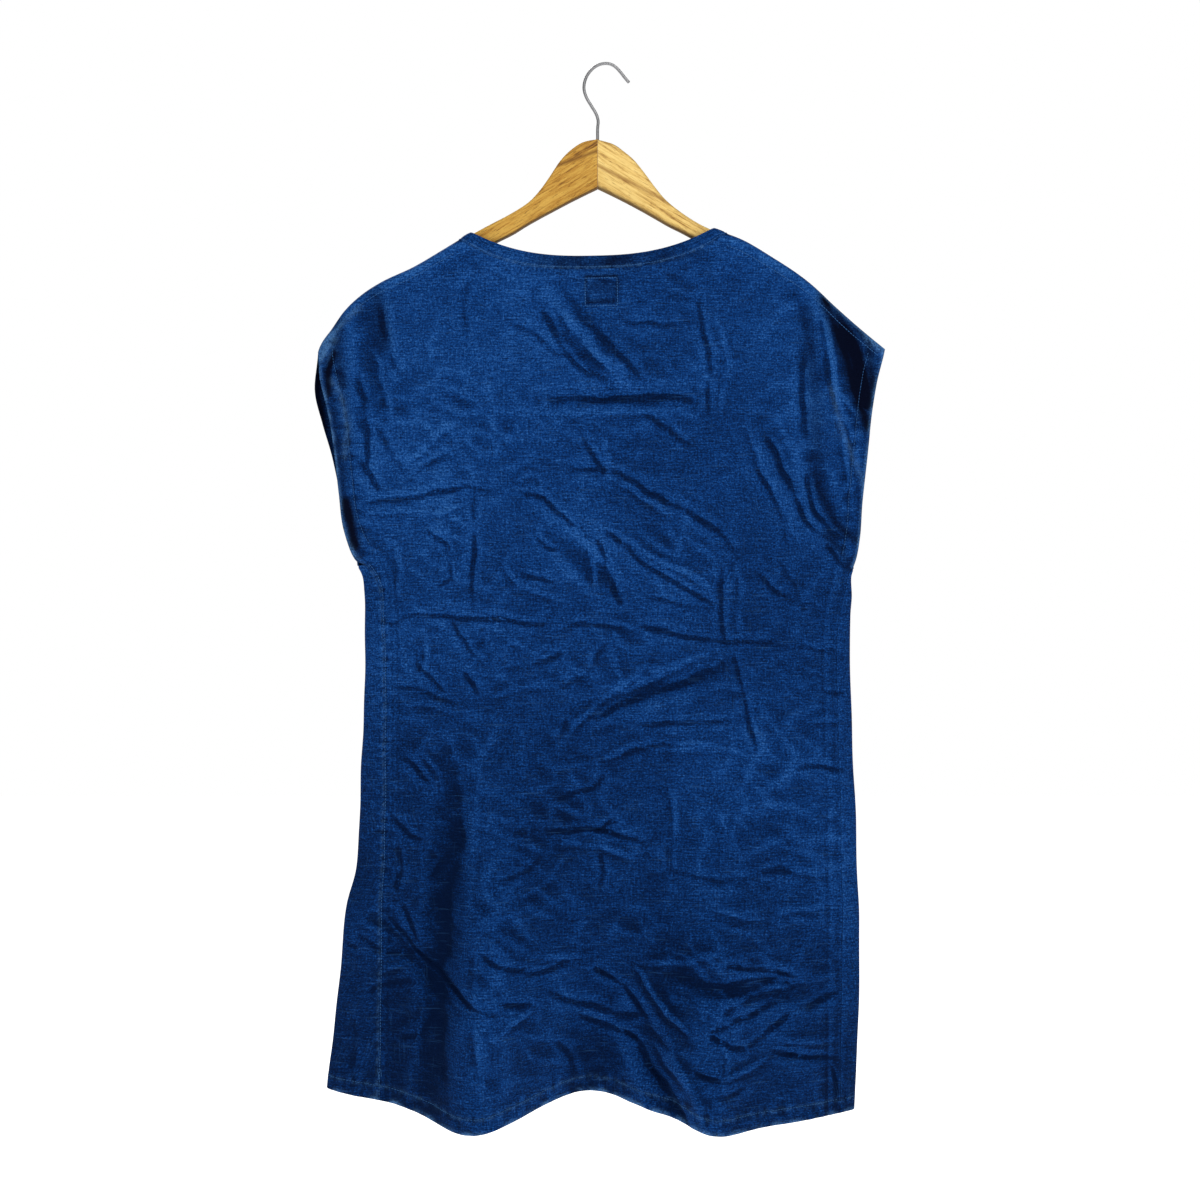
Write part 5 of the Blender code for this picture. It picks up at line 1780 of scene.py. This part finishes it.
# Painted shade of the back: under the shoulder tips, in the armholes and just under the neck strip.
# The last five marks darken the stitched square and its inside.
BACK_SHADE = [
    Mark(0.80, 8, ((219, -236), (236, -280), (250, -330), (260, -362))),
    Mark(0.95, 10, ((232, -250), (250, -292), (259, -340))),
    Mark(0.62, 8, ((226, -240), (262, -276), (266, -330))),
    Mark(0.32, 6, ((266, -300), (270, -340), (262, -392))),
    Mark(0.28, 9, ((199, -250), (207, -330), (210, -420))),
    Mark(0.55, 5, ((210, -420), (228, -458), (246, -474), (255, -476))),
    Mark(0.40, 5, ((219, -470), (234, -488), (243, -502))),
    Mark(0.38, 9, ((-229, -230), (-225, -255), (-222, -280))),
    Mark(0.85, 5, ((-270, -288), (-277, -308), (-276, -330))),
    Mark(0.50, 6, ((-266, -258), (-268, -290), (-262, -322))),
    Mark(0.30, 6, ((-262, -330), (-256, -362), (-260, -400))),
    Mark(0.32, 9, ((-276, -325), (-268, -380), (-262, -430))),
    Mark(1.00, 7, ((-260, -438), (-254, -460), (-251, -480))),
    Mark(0.28, 5, ((-10, -199), (40, -196), (92, -190))),
    Mark(0.20, 10, ((-76, -195), (-20, -199), (30, -198))),
    Mark(0.85, 2.0, ((-19, -238.5), (10, -237.5))),
    Mark(0.70, 1.8, ((-20, -213), (11, -212))),
    Mark(0.60, 1.6, ((-19.5, -213), (-19, -238))),
    Mark(0.60, 1.6, ((11, -212), (10.5, -237.5))),
    Mark(0.40, 9, ((-13, -224), (5, -224))),
]
# Painted shade of the front's inner face where it shows in the armholes.
FRONT_SHADE = [
    Mark(1.0, 12, ((-294, -300), (-292, -345), (-284, -400), (-272, -440), (-256, -482))),
    Mark(0.8, 12, ((280, -300), (270, -380), (254, -470))),
]
print(len(BACK_SHADE) + len(FRONT_SHADE), "dark marks and", len(TIP_WEAR), "worn ones")

# %% Nearness to a line
def nearness(x, z, points, width):
    """1 on a line through points, falling to 0 well away from it."""
    near = np.zeros(x.shape)
    for (x0, z0), (x1, z1) in zip(points, points[1:]):
        run_x = x1 - x0
        run_z = z1 - z0
        along = ((x - x0) * run_x + (z - z0) * run_z) / (run_x**2 + run_z**2)
        along = np.clip(along, 0.0, 1.0)
        gap = np.hypot(x - x0 - along * run_x, z - z0 - along * run_z)
        near = np.maximum(near, hump(gap, width))
    return near


def shade_of(marks, x, z):
    """Painted shade in the deep places, broken up by waves."""
    ragged = 0.92 + 0.12 * waves(x, z, 30.0, 141)
    total = np.zeros(x.shape)
    for mark in marks:
        total = np.maximum(total, mark.strength * nearness(x, z, mark.points, mark.width))
    return np.clip(total * ragged, 0.0, 1.0)


def edge_wear(grid, down, edge, rim, tip):
    """Pale rims where the cloth is folded and rubbed: hem, edges and shoulder tips."""
    x = grid[..., 0]
    z = grid[..., 2]
    noise = 0.5 + 0.5 * waves(x, z, 7.0, 131)
    fine = 0.5 + 0.5 * waves(x, z, 3.0, 132)
    from_hem = (1 - down[:, None]) * TALL
    hole = down[:, None] < UNDERARM
    amount = 0.85 * hump(from_hem, 2.6) * noise
    amount += 0.22 * hump(from_hem - 14.5, 2.2) * fine
    amount += rim * hump(edge, 1.9) * hole * (0.5 + 0.5 * noise)
    from_top = SHOULDER_AT(x) - z
    amount += rim * 0.7 * hump(from_top - 2.0, 1.6) * smoothstep((x - 195) / 25)
    amount += 0.35 * hump(edge, 1.3) * ~hole * fine * (x < 0)
    for mark in TIP_WEAR:
        strength = tip * mark.strength * (0.5 + 0.8 * fine)
        amount += strength * nearness(x, z, mark.points, mark.width)
    return np.clip(amount, 0.0, 1.0)


half_way = nearness(np.array([6.0]), np.zeros(1), ((0.0, -10.0), (0.0, 10.0)), 8.0)
print("6 mm from a mark 8 mm wide:", half_way.round(2))

# %% Wear and shade of the panels
back_edge = np.abs(seam_distance(back_t, back_down[:, None]))
back_wear = edge_wear(back_grid, back_down, back_edge, rim=0.95, tip=1.0)
back_shade = shade_of(BACK_SHADE, back_grid[..., 0], back_grid[..., 2])
add_values(back_panel, "wear", on_both_faces(back_wear))
add_values(back_panel, "shade", on_both_faces(back_shade))

steps = np.linalg.norm(np.diff(front_grid, axis=1), axis=-1)
from_left = np.concatenate([np.zeros((len(steps), 1)), np.cumsum(steps, axis=1)], axis=1)
front_edge = np.minimum(from_left, from_left[:, -1:] - from_left)
front_wear = edge_wear(front_grid, front_down, front_edge, rim=0.05, tip=0.0)
# Painted shade only near the armholes, where the front's inner face shows and lies in shadow.
at_hole = (front_down[:, None] < UNDERARM) & (np.abs(front_grid[..., 0] + 8) > 225)
front_shade = shade_of(FRONT_SHADE, front_grid[..., 0], front_grid[..., 2]) * at_hole
add_values(front_panel, "wear", on_both_faces(front_wear))
add_values(front_panel, "shade", on_both_faces(front_shade))
print("worn points of the back:", int((back_wear > 0.3).sum()))

# %% Wear and shade of the neck strip
around = np.tile(np.arange(len(neck_sections[0])), len(neck_sections))
strip_x, strip_y, strip_z = np.concatenate([np.array(loop) for loop in neck_sections]).T
rolled = np.where((around > 6) & (around < 10), 0.20, 0.0) + np.where(around < 3, 0.28, 0.0)
rolled = rolled * (0.5 + 0.5 * waves(strip_x, strip_z, 4.0, 134))
# The middle of the strip's back rolls over into shadow, which is painted here as shade.
middle_part = smoothstep((strip_x + 84.0) / 30.0) * smoothstep((84.0 - strip_x) / 40.0)
strip_painted_shade = middle_part * (strip_y < 0) * (0.34 + 0.10 * waves(strip_x, strip_z, 12.0, 135))
add_values(neck_binding, "wear", np.clip(rolled, 0.0, 1.0))
add_values(neck_binding, "shade", np.clip(strip_painted_shade, 0.0, 1.0))
print("dark points of the strip:", int((strip_painted_shade > 0.2).sum()))

# %% [markdown]
# ## Thread, wood, steel and floor
# The thread is dyed like the cloth but a little paler. The left arm is the browner piece of wood,
# with dark lines of grain, and the right one is paler, as two boards of one timber are. The wire
# is bright plated steel.

# %% Thread finish
thread = Finish("indigo_thread")
fibre = thread.noise(thread.object_place(), 900.0, 2.0)
thread_colour = thread.mix(fibre, (0.014, 0.075, 0.24, 1.0), (0.055, 0.170, 0.40, 1.0))
thread.base(Base_Color=thread_colour, Roughness=0.85, Normal=thread.bump(fibre, 0.0002, 0.5))
thread.shader.inputs["Specular IOR Level"].default_value = 0.05
print("thread ready")

# %% Wood finish
Vein = namedtuple("Vein", "x z slope half")
VEIN_REACH = 0.050
PAINTED_UNDER_SHADE = (0.060, 0.026, 0.006, 1.0)
GLUE_LINE = (0.20, 0.09, 0.025, 1.0)


def wood_finish(name, turn, pale, middle, dark, line, vein):
    """Timber whose grain runs along an arm that leans by this angle, with one dark vein."""
    f = Finish(name)
    place = f.object_place()
    x = f.part(place, 0)
    z = f.part(place, 2)
    lengthwise = f.stretched(place, (1.0, 1.0, 1.0), (0.0, turn, 0.0))
    drift = f.noise(f.stretched(lengthwise, (9.0, 30.0, 40.0)), 1.0, 2.0)
    rings = f.noise(f.stretched(lengthwise, (6.0, 90.0, 190.0)), 1.0, 3.0, 0.62)
    streak = f.noise(f.stretched(lengthwise, (14.0, 200.0, 480.0)), 1.0, 2.0, 0.6)
    fine = f.noise(f.stretched(lengthwise, (70.0, 500.0, 620.0)), 1.0, 3.0, 0.75)
    pores = f.noise(f.stretched(lengthwise, (120.0, 1500.0, 1500.0)), 1.0, 1.0, 0.5)
    value = (rings - 0.5) * 0.9 + (drift - 0.5) * 0.8 + (fine - 0.5) * 1.2
    value = value + (streak - 0.5) * 1.1 + 0.54
    colour = f.ramp(value, [(0.18, dark), (0.42, middle), (0.78, pale)])
    colour = f.mix((pores - 0.62).between(0.0, 0.08) * line, colour, dark)
    off = z - vein.z - (x - vein.x) * vein.slope + (drift - 0.5) * 0.006
    ends = (x.near(vein.x, VEIN_REACH) * 2.5).between()
    on_vein = off.near(0.0, vein.half) * ends * (streak * 1.8).between()
    colour = f.mix(on_vein * 0.85, colour, dark)
    # Painted shade: faces that point down turn dark brown, as the undersides of the arms lie in
    # shadow.
    facing = f.part(f.node("ShaderNodeNewGeometry", {}, {}, out=1), 2)
    colour = f.mix((facing * -1.5).between() * 0.9, colour, PAINTED_UNDER_SHADE)
    colour = f.mix(x.near(MITRE_X * METRES, 0.0007) * 0.7, colour, GLUE_LINE)
    rough = 0.66 + (streak - 0.5) * 0.15
    grain = f.bump(rings * 0.5 + streak * 0.3, 0.0001, 0.3)
    f.base(Base_Color=colour, Roughness=rough, Normal=grain)
    f.shader.inputs["Specular IOR Level"].default_value = 0.22
    return f.material


BROWN = ((0.57, 0.330, 0.060, 1.0), (0.41, 0.195, 0.024, 1.0), (0.13, 0.050, 0.007, 1.0))
HONEY = ((0.80, 0.570, 0.195, 1.0), (0.66, 0.425, 0.120, 1.0), (0.29, 0.145, 0.034, 1.0))
BROWN_VEIN = Vein(x=-0.030, z=-0.0946, slope=0.353, half=0.0032)
HONEY_VEIN = Vein(x=0.026, z=-0.1200, slope=-0.520, half=0.0034)
GRAIN_TURN = 0.55
brown_wood = wood_finish("brown_wood", GRAIN_TURN, *BROWN, line=0.8, vein=BROWN_VEIN)
honey_wood = wood_finish("honey_wood", -GRAIN_TURN, *HONEY, line=0.7, vein=HONEY_VEIN)
print("two timbers ready")

# %% Steel and floor finishes
steel = Finish("bright_wire")
drawn = steel.noise(steel.object_place(), 1200.0, 2.0)
steel_colour = steel.mix(drawn, (0.25, 0.25, 0.255, 1.0), (0.29, 0.29, 0.30, 1.0))
steel.base(Base_Color=steel_colour, Roughness=0.52 + drawn * 0.04)
steel.shader.inputs["Metallic"].default_value = 1.0

pale_floor = Finish("pale_floor")
mottle = pale_floor.noise(pale_floor.object_place(), 3.0, 2.0)
floor_colour = pale_floor.mix(mottle, (0.90, 0.90, 0.90, 1.0), (0.93, 0.93, 0.93, 1.0))
pale_floor.base(Base_Color=floor_colour, Roughness=0.9)
pale_floor.shader.inputs["Emission Color"].default_value = WHITE
pale_floor.shader.inputs["Emission Strength"].default_value = 0.95
print("steel and floor ready")

# %% [markdown]
# ## Give each piece its finish and its place
# Every piece rides on the one body and stands for the solid that it refines. The panels and the
# strip are sheets of cloth, and the last cell sums the area of each panel's outer face.

# %% Finishes and bodies
def dress_up(piece, material, slot, *nodes):
    """A finish, the body that the piece rides on, its slot, which is not used, and the solid it
    stands for.
    """
    piece.data.materials.clear()
    piece.data.materials.append(material)
    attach(piece, "root")
    if nodes:
        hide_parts(*nodes)


dress_up(back_panel, cloth_material, "cloth", "back_panel")
dress_up(front_panel, cloth_material, "cloth", "front_panel")
dress_up(neck_binding, binding_material, "binding", "neck_binding")
panel_sewing = [hem_stitches, side_stitches, arm_stitches, shoulder_stitches]
for stitches in panel_sewing + [square_stitches, bar_stitches]:
    dress_up(stitches, thread.material, "cloth")
dress_up(neck_stitches, thread.material, "binding")
dress_up(arm_left, brown_wood, "wood_brown", "hanger_arm_left")
dress_up(arm_right, honey_wood, "wood_honey", "hanger_arm_right")
dress_up(hook, steel.material, "wire", "hanger_hook")
floor.data.materials.append(pale_floor.material)
print("materials:", [material.name for material in bpy.data.materials if material.users])

# %% Sheets and their cut sizes
def face_area(grid):
    across = grid[:-1, 1:] - grid[:-1, :-1]
    down = grid[1:, :-1] - grid[:-1, :-1]
    return float(np.linalg.norm(np.cross(across, down), axis=-1).sum()) * METRES**2


back_area = face_area(back_grid)
front_area = face_area(front_grid)
print("square metres of the back", round(back_area, 3), "and the front", round(front_area, 3))
